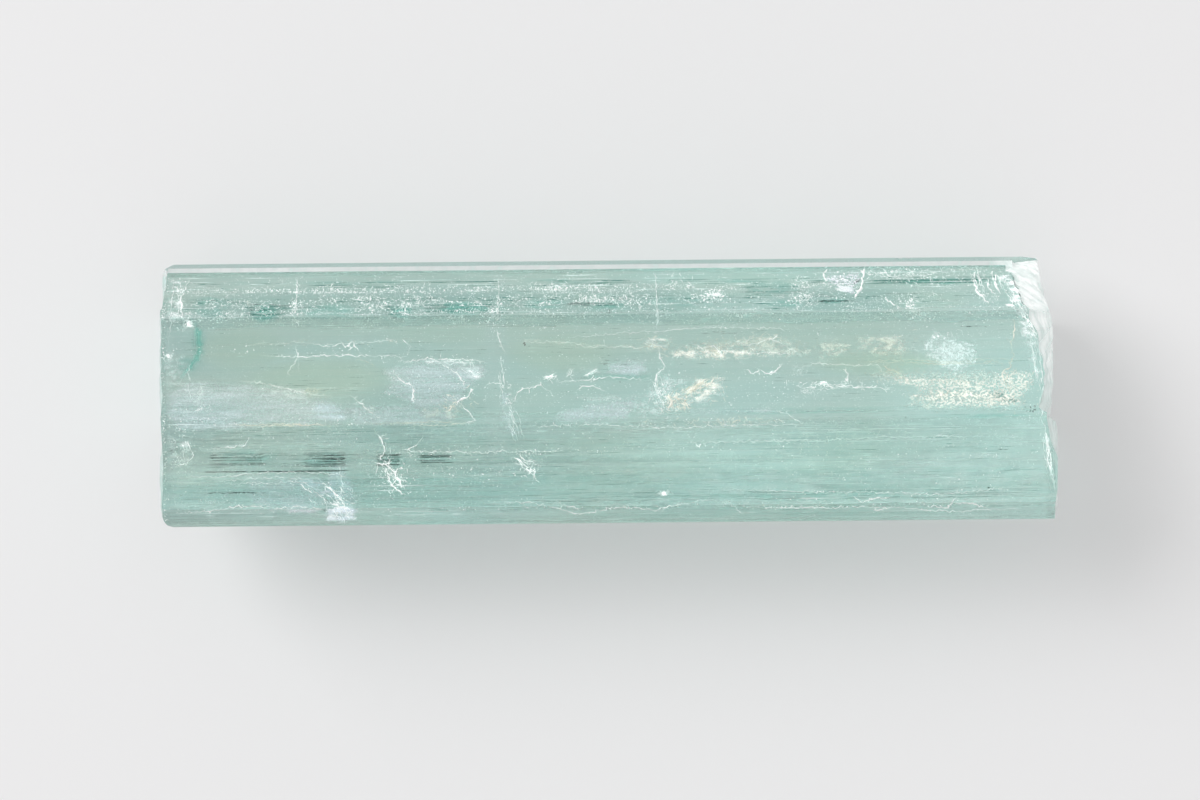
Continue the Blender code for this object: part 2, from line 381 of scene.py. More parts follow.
def ledgeRelief(x, along, toEdge, number):
    # depth below the face: steps up and down across the face, each wandering and stopping somewhere along x
    shape = ledgeShape
    random = np.random.default_rng(shape["seed"])
    depth = np.zeros((len(x), len(along)))
    spacing, reach, least = shape["spacing"], shape["depth"], shape["leastDepth"]
    for face in range(number.max() + 1):
        here = number == face
        run = along[here].max()
        if face == restingFace or run < shape["smallestFace"]:
            continue
        level = np.zeros((len(x), here.sum()))
        for place in np.arange(0.5, run / spacing) * spacing:
            spot = place + random.uniform(-shape["stray"], shape["stray"]) * spacing
            slant = random.normal() * shape["slant"]
            wander = waves(x[:, None], shape["wanderLength"], random.integers(9999), 5)
            edge = spot + slant * x + shape["wander"] * wander
            stop = random.uniform(-shape["stops"], shape["stops"]) * length
            stays = ease((x - stop) * random.choice((-1, 1)) / shape["stopSpan"] + 0.5)
            step = random.uniform(-1, 1) * reach * (least + (1 - least) * stays)
            level += step[:, None] * ease((along[here][None] - edge[:, None]) / shape["riser"] + 0.5)
        level -= level.min()
        level = np.abs((level + reach) % (2 * reach) - reach)
        depth[:, here] = level * (shape["onLowerSlopes"] if face in lowerSlopes else 1)
    return depth * ease(toEdge / shape["rim"])


def depthBelowTop(y, z):
    # how far a point lies under the top face and the two sloping faces beside it
    slope = math.tan(crystalShape["faceAngle"])
    pastBack = y - (width / 2 - crystalShape["backTopInset"])
    pastFront = -width / 2 + crystalShape["frontTopInset"] - y
    return thickness - np.maximum(np.maximum(pastBack, pastFront), 0) * slope - z


def hackle(y, z, seed):
    # the broken ends' relief: three sizes of waves
    points = np.stack([y, z], -1)
    return sum(waves(points, wavelength, seed + number) * share
               for number, (wavelength, share) in enumerate(breakShape["reliefWaves"]))


def ripples(y, z, end):
    # waves from -1 to 1 that spread from where a break starts, wander, widen and die out on the way
    shape = breakShape
    startY, startZ, seed = shape["rippleStarts"][end]
    reach = np.hypot(y - startY, z - startZ)
    drift = shape["rippleDrift"] * waves(np.stack([y, z], -1), shape["rippleDriftLength"], seed, 9)
    turns = ((reach + drift).clip(0) / mm) ** shape["rippleWidening"] * mm / shape["rippleLength"]
    return np.sin(2 * np.pi * turns) * alongSpan(reach, shape["rippleReach"])


def leanRemaining(y, z):
    # 1 on the upper surface, falling to 0 at the lean's depth
    shape = breakShape
    middle, back = shape["leanDepth"], shape["leanDepthBack"]
    depth = middle + (back - middle) * alongSpan(y, shape["leanDepthSpan"])
    return 1 - ease(depthBelowTop(y, z) / depth)


def leftBreak(y, z):
    # x of the left end: a slight lean under the top, rounded long edges, low relief and ripples
    shape = breakShape
    start, end = shape["leftCornerSpan"]
    corners = shape["leftCorner"] * (1 - np.sqrt(1 - np.clip((np.abs(y) - start) / (end - start), 0, 1) ** 2))
    lean = shape["leftLean"] * leanRemaining(y, z)
    relief = shape["leftRelief"] * hackle(y, z, shape["leftSeed"])
    relief = relief + shape["leftRippleHeight"] * ripples(y, z, "left")
    return low.x + shape["inset"] + lean + corners + relief


def rightBreak(y, z):
    # x of the right end: a lean under the top, ripples from the back top corner and one step across
    shape = breakShape
    front, back = shape["rightLeanFront"], shape["rightLeanBack"]
    lean = front + (back - front) * alongSpan(y, shape["rightLeanSpan"])
    lean = np.maximum(lean * alongSpan(y, shape["rightLeanStart"]), shape["rightLeanLeast"])
    lean = lean * leanRemaining(y, z)
    corner = shape["rightCorner"] * alongSpan(y, shape["rightCornerSpan"])
    ripple = shape["rippleHeight"] * ripples(y, z, "right") * alongSpan(y, shape["rightLeanStart"])
    fromStep = y - shape["stepY"] + shape["stepSlant"] * (thickness - z)
    step = shape["stepHeight"] * (1 + ease(1 - fromStep / shape["stepFoot"])) * ease(0.3 + z / thickness)
    step = step * ease(fromStep / shape["stepWidth"] + 1)
    relief = shape["rightRelief"] * hackle(y, z, shape["rightSeed"])
    return high.x - shape["inset"] - lean - corner + ripple - step + relief


# centre and half sizes in mm, and lean about X in degrees, of each hollow that a lost flake left
flakes = {
    "shell": ((7.95, 3.55, 5.62), (0.55, 0.50, 0.26), -60),
    "oval": ((3.55, 3.20, 6.02), (0.33, 0.14, 0.12), -60),
    "cluster": ((10.05, 2.80, 6.70), (0.26, 0.20, 0.10), -60),
    "leftEdge": ((-13.92, 2.34, 7.06), (0.16, 0.14, 0.14), 0),
    "leftTop": ((-14.62, 1.30, 7.05), (0.14, 0.10, 0.12), 0),
    "frontEdge": ((-8.90, -3.95, 6.92), (0.45, 0.20, 0.16), 0),
    "rightArc": ((12.55, 3.45, 5.70), (0.24, 0.36, 0.14), -60),
    "rightScoop": ((13.25, 3.50, 5.65), (0.30, 0.42, 0.16), -60),
    "whiteSpot": ((1.80, -3.42, 7.04), (0.14, 0.08, 0.10), 0),
}

nickShape = {
    "spacing": 1.6 * mm,
    "stray": 1.2,
    "halfLength": (0.05, 0.28),
    "radius": (0.015, 0.050),
    "corner": 1,                 # number of the section's corner that is nicked all along
    "seed": 23,
}


def hollows():
    # every hollow as centre, half sizes and lean: the named flakes, and nicks along the top's front edge
    found = list(flakes.values())
    random = np.random.default_rng(nickShape["seed"])
    y, z = sectionCorners()[nickShape["corner"]] / mm
    for place in np.arange(low.x, high.x, nickShape["spacing"]) / mm:
        radius = random.uniform(*nickShape["radius"])
        sizes = (random.uniform(*nickShape["halfLength"]), radius, radius)
        found.append(((place + random.uniform(0, nickShape["stray"]), y, z), sizes, 0))
    return found


def carve(points, marks):
    # moves what lies in a hollow straight towards the crystal's core line, to the hollow's far wall
    core = np.empty_like(points)
    fromEnds = crystalShape["coreFromEnds"]
    core[:, 0] = np.clip(points[:, 0], low.x + fromEnds, high.x - fromEnds)
    core[:, 1:] = crystalShape["core"]
    inward = core - points
    inward /= np.linalg.norm(inward, axis=1)[:, None]
    for centre, sizes, lean in hollows():
        cosine, sine = math.cos(math.radians(lean)), math.sin(math.radians(lean))
        axes = np.array([(1, 0, 0), (0, cosine, -sine), (0, sine, cosine)])
        stretch = axes / (np.array(sizes) * mm)
        near = np.abs(points[:, 0] - centre[0] * mm) < sizes[0] * mm
        spot = (points[near] - np.array(centre) * mm) @ stretch
        way = inward[near] @ stretch
        inside = (spot ** 2).sum(1) - 1
        a, b = (way ** 2).sum(1), (spot * way).sum(1)
        move = np.where(inside < 0, (-b + np.sqrt(np.maximum(b * b - a * inside, 0))) / a, 0)
        points[near] += inward[near] * move[:, None]
        marks[near] = np.maximum(marks[near], ease(move / frostShape["flakeDepth"]))
    return points, marks


# what is broken or worn, how white it is, and the painted highlight on the shelf
frostShape = {
    "shelfHighlight": 0.62,               # the narrow shelf along the back is painted pale as a painted highlight, most towards the left end
    "shelfMore": 0.38,
    "shelfMoreSpans": ((-13.8 * mm, -13.2 * mm), (-8.6 * mm, -10.2 * mm)),
    "shelfY": 3.95 * mm,
    # how white the shelf's painted highlight is
    "shelfStrength": 0.30,
    "shelfWear": 0.8,
    "shelfWearSpan": (13.6 * mm, 12.8 * mm),
    "cornerSpans": ((13.35 * mm, 13.75 * mm), (2.9 * mm, 3.4 * mm)),  # x and y of the upper faces' corner
    "cornerLevel": 4 * mm,
    "cornerWander": 0.25 * mm,
    "cornerLength": 0.5 * mm,
    "cornerSeed": 81,
    "flakeDepth": 0.03 * mm,     # a hollow is fully frosted from this depth on
    "flakeStrength": 0.42,
    "rightFrom": 13 * mm,
    "rightStrength": 0.38,
    "rightSpan": (-1.0 * mm, 2.8 * mm),
    "leftStrength": (0.04, 0.20),
    "leftSkin": 0.05 * mm,       # what lies this near the left break belongs to it
    "glassy": 0.68,
    "glassyRelief": 0.12,        # how much the waves and the ripples take and give
    "glassyRipples": 0.20,
    "whiteRipples": (0.8, 0.2),  # the right break's whiteness, and how much its ripples change it
}


def crystalSurface():
    # rings along X: out over the left break, along the striated faces, and in over the right break
    shape, frosting = crystalShape, frostShape
    spots, inward, along, toEdge, number = sectionPoints()
    rows, endRings = shape["alongRows"], shape["endRings"]
    share = np.linspace(0, 1, rows + 1)
    relief = ledgeRelief(low.x + share * length, along, toEdge, number)
    left, right = leftBreak(*spots.T), rightBreak(*spots.T)
    x = left + share[:, None] * (right - left)
    side = spots[None] + inward[None] * relief[..., None]
    middle = np.array(shape["core"])
    out = (np.arange(1, endRings) / endRings)[:, None, None] ** shape["endCrowding"]
    leftRings = middle + out * (side[0] - middle)
    rightRings = middle + out[::-1] * (side[-1] - middle)
    rings = np.concatenate([leftRings, side, rightRings])
    ends = leftBreak(*np.moveaxis(leftRings, -1, 0)), rightBreak(*np.moveaxis(rightRings, -1, 0))
    alongX = np.concatenate([ends[0], x, ends[1]])
    points = np.concatenate([alongX[..., None], rings], -1).reshape(-1, 3)
    poles = [(leftBreak(*middle), *middle), (rightBreak(*middle), *middle)]
    points = np.concatenate([points, poles])
    frost = np.ones(len(points))
    firstSide = (endRings - 1) * len(spots)
    sides = slice(firstSide, firstSide + (rows + 1) * len(spots))
    x, y, z = points[sides].T
    fromLeft, toRight = frosting["shelfMoreSpans"]
    # the shelf's painted highlight, paler towards the left end
    shelfHighlight = frosting["shelfHighlight"] + frosting["shelfMore"] * alongSpan(x, fromLeft) * alongSpan(x, toRight)
    cornerX, cornerY = frosting["cornerSpans"]
    wander = waves(points[sides], frosting["cornerLength"], frosting["cornerSeed"], 7)
    wander = wander * frosting["cornerWander"]
    corner = alongSpan(x + wander, cornerX) * alongSpan(y + wander, cornerY) * (z > frosting["cornerLevel"])
    frost[sides] = np.maximum(np.tile(number == shelfFace, rows + 1) * shelfHighlight, corner)
    points, frost = carve(points, frost)
    points = np.clip(points, np.array(low), np.array(high))
    return points, ringFaces(len(rings), len(spots)), frost


def onLeftBreak(points):
    # true for what lies a skin away from the left break, or nearer
    x, y, z = points.T
    return x < leftBreak(y, z) + frostShape["leftSkin"]


def glassyShare(points):
    # how clear the left break is: less in the hollows of its waves and on the crests of its ripples
    x, y, z = points.T
    share = frostShape["glassy"] - frostShape["glassyRelief"] * hackle(y, z, breakShape["leftSeed"])
    share = share + frostShape["glassyRipples"] * ripples(y, z, "left")
    return np.where(onLeftBreak(points), share, 0)


def frostStrength(points):
    # the right break is whitest towards its back edge and in the hollows of its ripples; the left is glassier
    x, y, z = points.T
    shape = frostShape
    right = shape["rightStrength"] + (1 - shape["rightStrength"]) * alongSpan(y, shape["rightSpan"])
    white, change = shape["whiteRipples"]
    right = right * (white - change * ripples(y, z, "right"))
    least, most = shape["leftStrength"]
    left = most + (least - most) * glassyShare(points)
    elsewhere = np.where(y > shape["shelfY"], shape["shelfStrength"], shape["flakeStrength"])
    return np.where(x > shape["rightFrom"], right, np.where(onLeftBreak(points), left, elsewhere))


def wornShare(points):
    # the shelf along the back is worn grey, as far as the broken corner
    x, y, z = points.T
    return frostShape["shelfWear"] * (y > frostShape["shelfY"]) * alongSpan(x, frostShape["shelfWearSpan"])


crystalLook = {
    "ior": 1.577,
    "absorb": (0.05, 0.86, 0.76),
    "density": 24.0,             # per metre
    "polish": 0.04,
    "clearShare": 0.74,
    "warmTint": (0.86, 0.98, 0.91),
    "coolTint": (0.80, 0.97, 0.935),
    "paleTint": (0.90, 1.0, 0.98),
    "oliveTint": (0.83, 0.955, 0.83),
    # the beryl's deep teal, also laid on as painted shade in two bands along x
    "deepAndShadeTint": (0.30, 0.70, 0.625),
    # painted shade: the tint of the dim patches
    "dimShadeTint": (0.50, 0.67, 0.635),
    # painted shade: the steep back wall, seen edge-on from above, is painted darker
    "wallShadeTint": (0.34, 0.60, 0.56),
    "litGlow": 0.055,            # light spread sideways inside, where the lit share says
    "litTint": (0.30, 1.0, 0.90),
    "wallShadeFrom": (4.16, 4.21),    # y in mm where the painted shade on the steep back wall comes in
    "wallEnd": (13.8, 12.6),     # x in mm where that painted shade ends, at the broken corner
    "lineScale": (0.10, 15, 15),
    "lineRelief": 0.012 * mm,
    "lineRoughness": 0.08,
    "lineSpan": (0.45, 0.60),    # where the lines are deep in tint, and how much
    "lineDeep": 0.11,
    "blotchScale": (1.6, 5, 5),
    "blotchSpan": (0.38, 0.56),
    "blotchDeep": (0.8, 0.35),   # share of the deep tint and painted shade that blotches break up, and share that stays even
    "underside": 0.22,           # roughness of the worn lower faces, fading out upwards
    "undersideSpan": (2.4, 0.2),
    "frost": 0.42,
    # painted glow of the frosted white, standing in for light gathered in the broken ends
    "frostPaintedGlow": 0.36,
    "frostedClearShare": 0.30,
    "frostTint": (1.0, 0.992, 0.99),
    "wornTint": (0.80, 0.79, 0.80),
    "glassyTint": (0.44, 0.71, 0.655),
    "strandScale": (3.5, 1.1, 8),
    "strandSpan": (0.34, 0.60),
    "strandWhite": (0.75, 0.45),  # share of the white that strands break up, and share that stays even
    "lumpRelief": 0.03 * mm,
}

# where the beryl's colour changes, and where painted shade darkens it (the dim patches): middle and half
# sizes on the plan in mm, and how much
patches = {
    "pale": [
        ((13.9, 3.7), (0.9, 1), 0.75), ((-3.75, 0), (0.55, 5), 0.5), ((1.7, 0), (0.35, 5), 0.3),
        ((-14.7, 0), (0.45, 5), 0.4), ((12.5, -0.5), (5, 5.5), 0.9), ((4.5, -0.6), (5.5, 2.6), 0.6),
    ],
    "olive": [
        ((-9.6, 0.45), (3, 0.85), 0.9), ((-12.2, 1.5), (1.9, 0.9), 0.8), ((-1.5, 1.25), (2.1, 0.75), 0.7),
        ((9, 0.85), (2.4, 0.5), 0.9), ((10.5, 2.9), (1.8, 0.45), 0.5), ((-5.8, 1.9), (2, 0.4), 0.4),
    ],
    "deepAndShade": [
        ((-11.4, 2.72), (0.6, 0.42), 1), ((-6.9, 2.72), (0.5, 0.28), 0.9), ((-4.8, 2.8), (1.1, 0.3), 0.9),
        ((-2.15, 2.92), (1, 0.26), 0.7), ((-0.2, 2.84), (1.2, 0.12), 1), ((5.5, 3.38), (1.3, 0.34), 0.65),
        ((5.9, 2.84), (0.8, 0.14), 0.9), ((7.6, 2.94), (0.6, 0.14), 1), ((11.1, 3.56), (2.5, 0.15), 0.9),
        ((-13.2, 2.95), (0.8, 0.5), 0.6), ((-9.3, 2.75), (1.4, 0.3), 0.65), ((2.4, 2.95), (1.4, 0.24), 0.55),
        ((-13.6, 1.65), (0.3, 0.8), 0.45), ((-13.95, 0.95), (0.4, 0.4), 0.45),
        ((-12, -2.1), (1.1, 0.35), 0.4), ((-8.5, 3.7), (2.2, 0.1), 0.6), ((-1.5, 3.7), (1.6, 0.1), 0.6),
        ((4.4, 3.66), (1.2, 0.1), 0.6), ((-9.5, -2.2), (0.9, 0.32), 0.5), ((-7.2, -2.25), (0.6, 0.28), 0.4),
        ((-5.8, -2.22), (0.8, 0.2), 0.4), ((5.5, -4.12), (9, 0.3), 0.3), ((6.5, -3.52), (6.5, 0.16), 0.4),
        ((12.5, -0.95), (2, 0.1), 0.45), ((6, -0.7), (4, 0.12), 0.35), ((0.5, 0.45), (2, 0.14), 0.4),
    ],
    # painted shade, not a colour of the beryl: darker zones along the back slope, along the front of the top
    # face and in the left half
    "dimShade": [
        ((-7, 3), (8.8, 0.75), 0.88), ((-1, 3), (6, 0.75), 0.7), ((8, 2.95), (3.2, 0.6), 0.7),
        ((-7.5, -3.2), (8.5, 0.75), 0.85), ((-2, -3.2), (6, 0.75), 0.52), ((-6.5, -0.4), (3.5, 0.8), 0.45),
        ((-6.5, -1.6), (3, 0.7), 0.4), ((-6, -2.35), (9.5, 0.5), 0.5), ((-7, 3.8), (3, 0.3), 0.25),
    ],
    "lit": [
        ((12.6, -0.4), (4.5, 3.1), 0.9), ((5.5, -1.95), (7, 1), 0.9), ((4, 3.82), (4.5, 0.4), 0.8),
        ((3.5, -0.2), (3.5, 1.5), 0.3), ((-6.5, -4.15), (3, 0.3), 0.6),
    ],
}

tintShape = {
    "warmStretch": (0.16, 0.7, 0.7),  # slow waves, long ones along x
    "warmLength": 1.3,
    "warmSeed": 71,
    "warmAmount": 0.35,
    "patchesAbove": 2.6,         # height in mm from which the patches show
    # painted shade: two bands along x, over the front of the top face and over the back slope
    "frontShadeBand": ((-2.5, -2.8), (-3.85, -3.75), 0.20),  # spans of y in mm, and how much painted shade
    "backShadeBand": ((2.5, 2.7), 0.16),
}


def tintShares(points):
    # one share for each tint at each point: slow waves for warm, and for the rest the patches above, each
    # falling off from its middle as the square of the distance; two wide bands along x get painted shade,
    # kept with the deep share
    shape = tintShape
    x, y, z = points.T / mm
    warm = waves(points / mm * shape["warmStretch"], shape["warmLength"], shape["warmSeed"], 12)
    shares = {"warm": ease(0.5 + shape["warmAmount"] * warm)}
    for name, spots in patches.items():
        share = np.zeros(len(points))
        for (middleX, middleY), (halfX, halfY), amount in spots:
            reach = ((x - middleX) / halfX) ** 2 + ((y - middleY) / halfY) ** 2
            share = np.maximum(share, amount * ease(1.1 * (1 - reach)))
        shares[name] = share * (z > shape["patchesAbove"])
    (frontFrom, frontTo, front), (backFrom, back) = shape["frontShadeBand"], shape["backShadeBand"]
    shadeBands = front * alongSpan(y, frontFrom) * alongSpan(y, frontTo) + back * alongSpan(y, backFrom)
    # the deep share carries the painted shade of the two bands as well
    shares["deepAndShade"] = np.maximum(shares["deepAndShade"], shadeBands)
    return shares


def clearBeryl():
    # growth lines along x as relief and as streaks of tint; cool or warm, pale, olive, dim and deep by the
    # shares kept with each point, the deep ones broken up by blotches; dim, and the two bands kept with deep,
    # are painted shade, and so is the darker back wall; a little glow where the lit share says
    look = crystalLook
    bench = Bench("aquamarineClear")
    lines = bench.noise(look["lineScale"], detail=3.0, rough=0.6)
    blotches = bench.noise(look["blotchScale"], detail=2.0)
    spot = bench.place()
    x, y, z = (bench.split(spot, axis) for axis in range(3))
    tint = bench.blend(bench.attribute("warm"), look["coolTint"], look["warmTint"])
    for name in ("pale", "olive", "dimShade"):
        tint = bench.blend(bench.attribute(name), tint, look[name + "Tint"])
    broken, even = look["blotchDeep"]
    deepAndShade = bench.attribute("deepAndShade") * (blotches.rise(*look["blotchSpan"]) * broken + even)
    deepAndShade = deepAndShade + lines.rise(*look["lineSpan"]) * look["lineDeep"]
    tint = bench.blend(deepAndShade.clamped(), tint, look["deepAndShadeTint"])
    # painted shade on the steep back wall, fading out at the broken corner
    wall = y.rise(*look["wallShadeFrom"]) * x.rise(*look["wallEnd"])
    worn = z.rise(*look["undersideSpan"])
    return bench.finish({
        "Base Color": bench.blend(wall, tint, look["wallShadeTint"]),
        "Emission Color": bench.blend(bench.attribute("lit"), (0, 0, 0), look["litTint"]),
        "Emission Strength": look["litGlow"],
        "Roughness": lines * look["lineRoughness"] + worn * look["underside"] + look["polish"],
        "IOR": look["ior"],
        "Transmission Weight": look["clearShare"],
        "Normal": bench.bump(lines, look["lineRelief"], 0.45),
    }, {"Color": (*look["absorb"], 1), "Density": look["density"]})


def brokenBeryl():
    # the same beryl where it is broken, and on the shelf with its painted highlight: rough, in strands along
    # y that are now whiter, now clearer, the white glowing a little as painted glow; teal where the glassy
    # share says, and grey where the worn share does
    look = crystalLook
    bench = Bench("aquamarineBroken")
    frost = bench.attribute("frost")
    lumps = bench.noise(look["strandScale"], detail=4.0, rough=0.62)
    broken, even = look["strandWhite"]
    white = (frost * (lumps.rise(*look["strandSpan"]) * broken + even)).clamped()
    pale = bench.blend(white, look["coolTint"], look["frostTint"])
    pale = bench.blend(bench.attribute("glassy"), pale, look["glassyTint"])
    return bench.finish({
        "Base Color": bench.blend(bench.attribute("worn") * lumps.rise(0.2, 0.5), pale, look["wornTint"]),
        # painted glow where the surface is white
        "Emission Color": bench.blend(white, (0, 0, 0), look["frostTint"]),
        "Emission Strength": look["frostPaintedGlow"],
        "Roughness": frost * (look["frost"] - look["polish"]) + look["polish"],
        "IOR": look["ior"],
        "Transmission Weight": look["frostedClearShare"],
        "Normal": bench.bump(lumps, look["lumpRelief"], 0.8),
    }, {"Color": (*look["absorb"], 1), "Density": look["density"]})


def belongs(piece):
    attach(piece, "root")
    return piece


def makeCrystal():
    points, faces, frost = crystalSurface()
    broken = np.concatenate([frost[rows].mean(1) > 0.5 for rows in faces])
    marks = {"frost": frost * frostStrength(points), "worn": wornShare(points),
             "glassy": glassyShare(points), **tintShares(points)}
    piece = makePiece("crystalBody", points, faces, [clearBeryl(), brokenBeryl()],
                      sharpAngle=crystalShape["sharpAngle"], marks=marks, slots=broken)
    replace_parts(belongs(piece), "aquamarine_crystal")
    print("crystal:", len(points), "points")


# what lies inside, just under the surface; areas, places and sizes are in mm

skin = 0.012 * mm                # the least beryl over anything inside
sideLimits = (-4.25, 4.2)        # y between which crumbs and needles lie
fineShape = {
    "clumpStretch": 2.2,         # clumps are this much longer along x
    "clumpLength": 0.9,
    "rowSpread": 0.05,
    "slopeShare": (0.04, 0.96),  # the part of a lower slope's width that has grains under it
    "slopeEnds": (0.3 * mm, 0.4 * mm),
    "slopeClumps": (2.5 * mm, 3.5),  # their unit along x, and how many units a slope is wide
    "needleSlant": 0.004,
    "needleFlatness": 0.7,       # height over width
    "crumbFlatness": 0.5,
    "crumbFineness": 2.5,        # above 1 most crumbs are near the small size
    "crumbRoughness": (0.4, 1.0),
}


def roof(y):
    # the upper surface's height at y: the top face and the two sloping faces beside it
    return depthBelowTop(y, 0 * y)


def roomToEnds(places):
    # how far a place is from the nearer broken end, along x
    x, y, z = places.T
    return np.minimum(x - leftBreak(y, z), rightBreak(y, z) - x)


def stamp(shape, faces, centres, axes, spread=None):
    # copies of a small shape: its points along three axes from each centre; spread varies each point's reach
    reach = np.ones((len(centres), len(shape))) if spread is None else spread
    points = centres[:, None] + np.einsum("nk,kd,nde->nke", reach, shape, axes)
    numbers = faces[None] + (np.arange(len(centres)) * len(shape))[:, None, None]
    return points.reshape(-1, 3), numbers.reshape(-1, faces.shape[1])


# an eight-sided grain, its points one step out along each axis, and a four-sided one for the finest dust
grain = np.array([(1, 0, 0), (-1, 0, 0), (0, 1, 0), (0, -1, 0), (0, 0, 1), (0, 0, -1)], float)
grainFaces = np.array([(0, 2, 4), (2, 1, 4), (1, 3, 4), (3, 0, 4),
                       (2, 0, 5), (1, 2, 5), (3, 1, 5), (0, 3, 5)])
mote = np.array([(1, 0, 0.7), (-1, 0, 0.7), (0, 1, -0.7), (0, -1, -0.7)])
moteFaces = np.array([(0, 2, 1), (0, 1, 3), (0, 3, 2), (1, 2, 3)])


def underRoof(random, x, y, depth, margin):
    # places (x and y in metres) at a random depth under the upper surface, but none near a broken end
    z = roof(y) - random.uniform(*depth, len(x)) * mm
    places = np.stack([x, y, z], -1)
    return places[roomToEnds(places) > margin * mm]


def scatter(random, count, area, depth, patch, rows=0, margin=0.04):
    # places within an area (x from and to, y from and to); patch gathers them in clumps, rows sets them on
    # lines along x
    x = random.uniform(area[0], area[1], count)
    across = random.uniform(0, 1, count)
    if rows:
        lines = random.uniform(0, 1, rows)
        picked = random.integers(0, rows, count)
        stray = random.normal(0, fineShape["rowSpread"] / rows, count)
        across = lines[picked] + stray
    y = area[2] + (area[3] - area[2]) * across
    places = np.stack([x / fineShape["clumpStretch"], y], -1)
    clumps = waves(places, fineShape["clumpLength"], random.integers(9999), 9)
    kept = clumps * patch + random.uniform(-1, 1, count) * (1.2 - patch) > 0.35 * patch - (1 - patch)
    return underRoof(random, x[kept] * mm, np.clip(y[kept], *sideLimits) * mm, depth, margin)


def cluster(random, count, centre, spread, depth):
    # places round a centre on the plan, thinning outwards
    x, y = (np.array(centre)[:, None] + random.normal(0, 1, (2, count)) * np.array(spread)[:, None]) * mm
    return underRoof(random, x, np.clip(y, sideLimits[0] * mm, sideLimits[1] * mm), depth, 0.10)


def underSlopes(random, count, depth, patch):
    # places under the two lower slopes, in clumps
    shape, corners = fineShape, sectionCorners()
    (fromLeft, fromRight), (alongX, across) = shape["slopeEnds"], shape["slopeClumps"]
    found = []
    for face in lowerSlopes:
        start, end = corners[face:face + 2]
        share = random.uniform(*shape["slopeShare"], count)
        way = end - start
        inward = np.array((-way[1], way[0])) / np.hypot(*way)
        spots = start + share[:, None] * way + random.uniform(*depth, (count, 1)) * mm * inward
        x = random.uniform(low.x + fromLeft, high.x - fromRight, count)
        spread = np.stack([x / alongX, share * across], -1)
        clumps = waves(spread, shape["clumpLength"], random.integers(9999), 9)
        found.append(np.column_stack([x, spots])[clumps > patch])
    places = np.concatenate(found)
    return places[roomToEnds(places) > 0.12 * mm]


def needles(random, places, halfLength, halfWidth):
    # thin grains along x, most of them short, and cut where they would reach an end
    count = len(places)
    half = random.uniform(0, 1, count) ** 2 * (halfLength[1] - halfLength[0]) + halfLength[0]
    half = np.minimum(half * mm, roomToEnds(places) - 0.05 * mm)
    axes = np.zeros((count, 3, 3))
    axes[:, 0, 0] = half
    axes[:, 0, 1] = half * random.normal(0, fineShape["needleSlant"], count)
    wide = random.uniform(*halfWidth, count) * mm
    axes[:, 1, 1] = wide
    axes[:, 2, 2] = wide * fineShape["needleFlatness"]
    places = places - (0, 0, 1) * axes[:, 2, 2:]
    return stamp(grain, grainFaces, places, axes)


def crumbs(random, places, size, stretch=1.5, turned=0.6, shape=grain, faces=grainFaces):
    # rough grains turned about z, longer along x; most of them near the small size
    count = len(places)
    turn = random.normal(0, turned, count)
    big = size[0] + (size[1] - size[0]) * random.uniform(0, 1, count) ** fineShape["crumbFineness"]
    axes = np.zeros((count, 3, 3))
    axes[:, 0] = np.stack([np.cos(turn), np.sin(turn), 0 * turn], -1) * (big * stretch * mm)[:, None]
    axes[:, 1] = np.stack([-np.sin(turn), np.cos(turn), 0 * turn], -1) * (big * mm)[:, None]
    axes[:, 2, 2] = big * fineShape["crumbFlatness"] * mm
    places = places - (0, 0, 1) * axes[:, 2, 2:]
    reach = random.uniform(*fineShape["crumbRoughness"], (count, len(shape)))
    return stamp(shape, faces, places, axes, reach)


def gather(parts):
    # several (points, faces) sets as one; a part's faces may come as several arrays
    starts = np.cumsum([0] + [len(points) for points, faces in parts[:-1]])
    rows = [rows + start for (points, faces), start in zip(parts, starts)
            for rows in (faces if isinstance(faces, list) else [faces])]
    return np.concatenate([points for points, faces in parts]), rows


def matter(name, plan):
    # pale or dark matter in the crystal: its colour varies by noise; it gives back light that reaches it
    # through the crystal, and glows as much as its plan's glow says, a painted glow that brightens it
    bench = Bench(name)
    cloud = bench.noise((2.2, 5, 5), detail=1.0)
    darker = tuple(channel * 0.85 for channel in plan["colour"])
    colour = bench.blend(cloud.rise(0.35, 0.65), darker, plan["colour"])
    return bench.finish({"Base Color": colour, "Roughness": 0.5,
                         "Emission Color": colour, "Emission Strength": plan["glow"]})


def keepInside(points):
    # nothing inside reaches through a broken end or past the sides
    x, y, z = points.T
    y = np.clip(y, -width / 2 + skin, width / 2 - skin)
    x = np.clip(x, leftBreak(y, z) + skin, rightBreak(y, z) - skin)
    return np.stack([x, y, z], -1)


def inside(name, plan, parts):
    # one mesh of all the parts, in one material
    points, faces = gather(parts)
    points = keepInside(points)
    belongs(makePiece(name, points, faces, [matter(name, plan)], smooth=False))
    print(name + ":", sum(len(rows) for rows in faces), "faces")


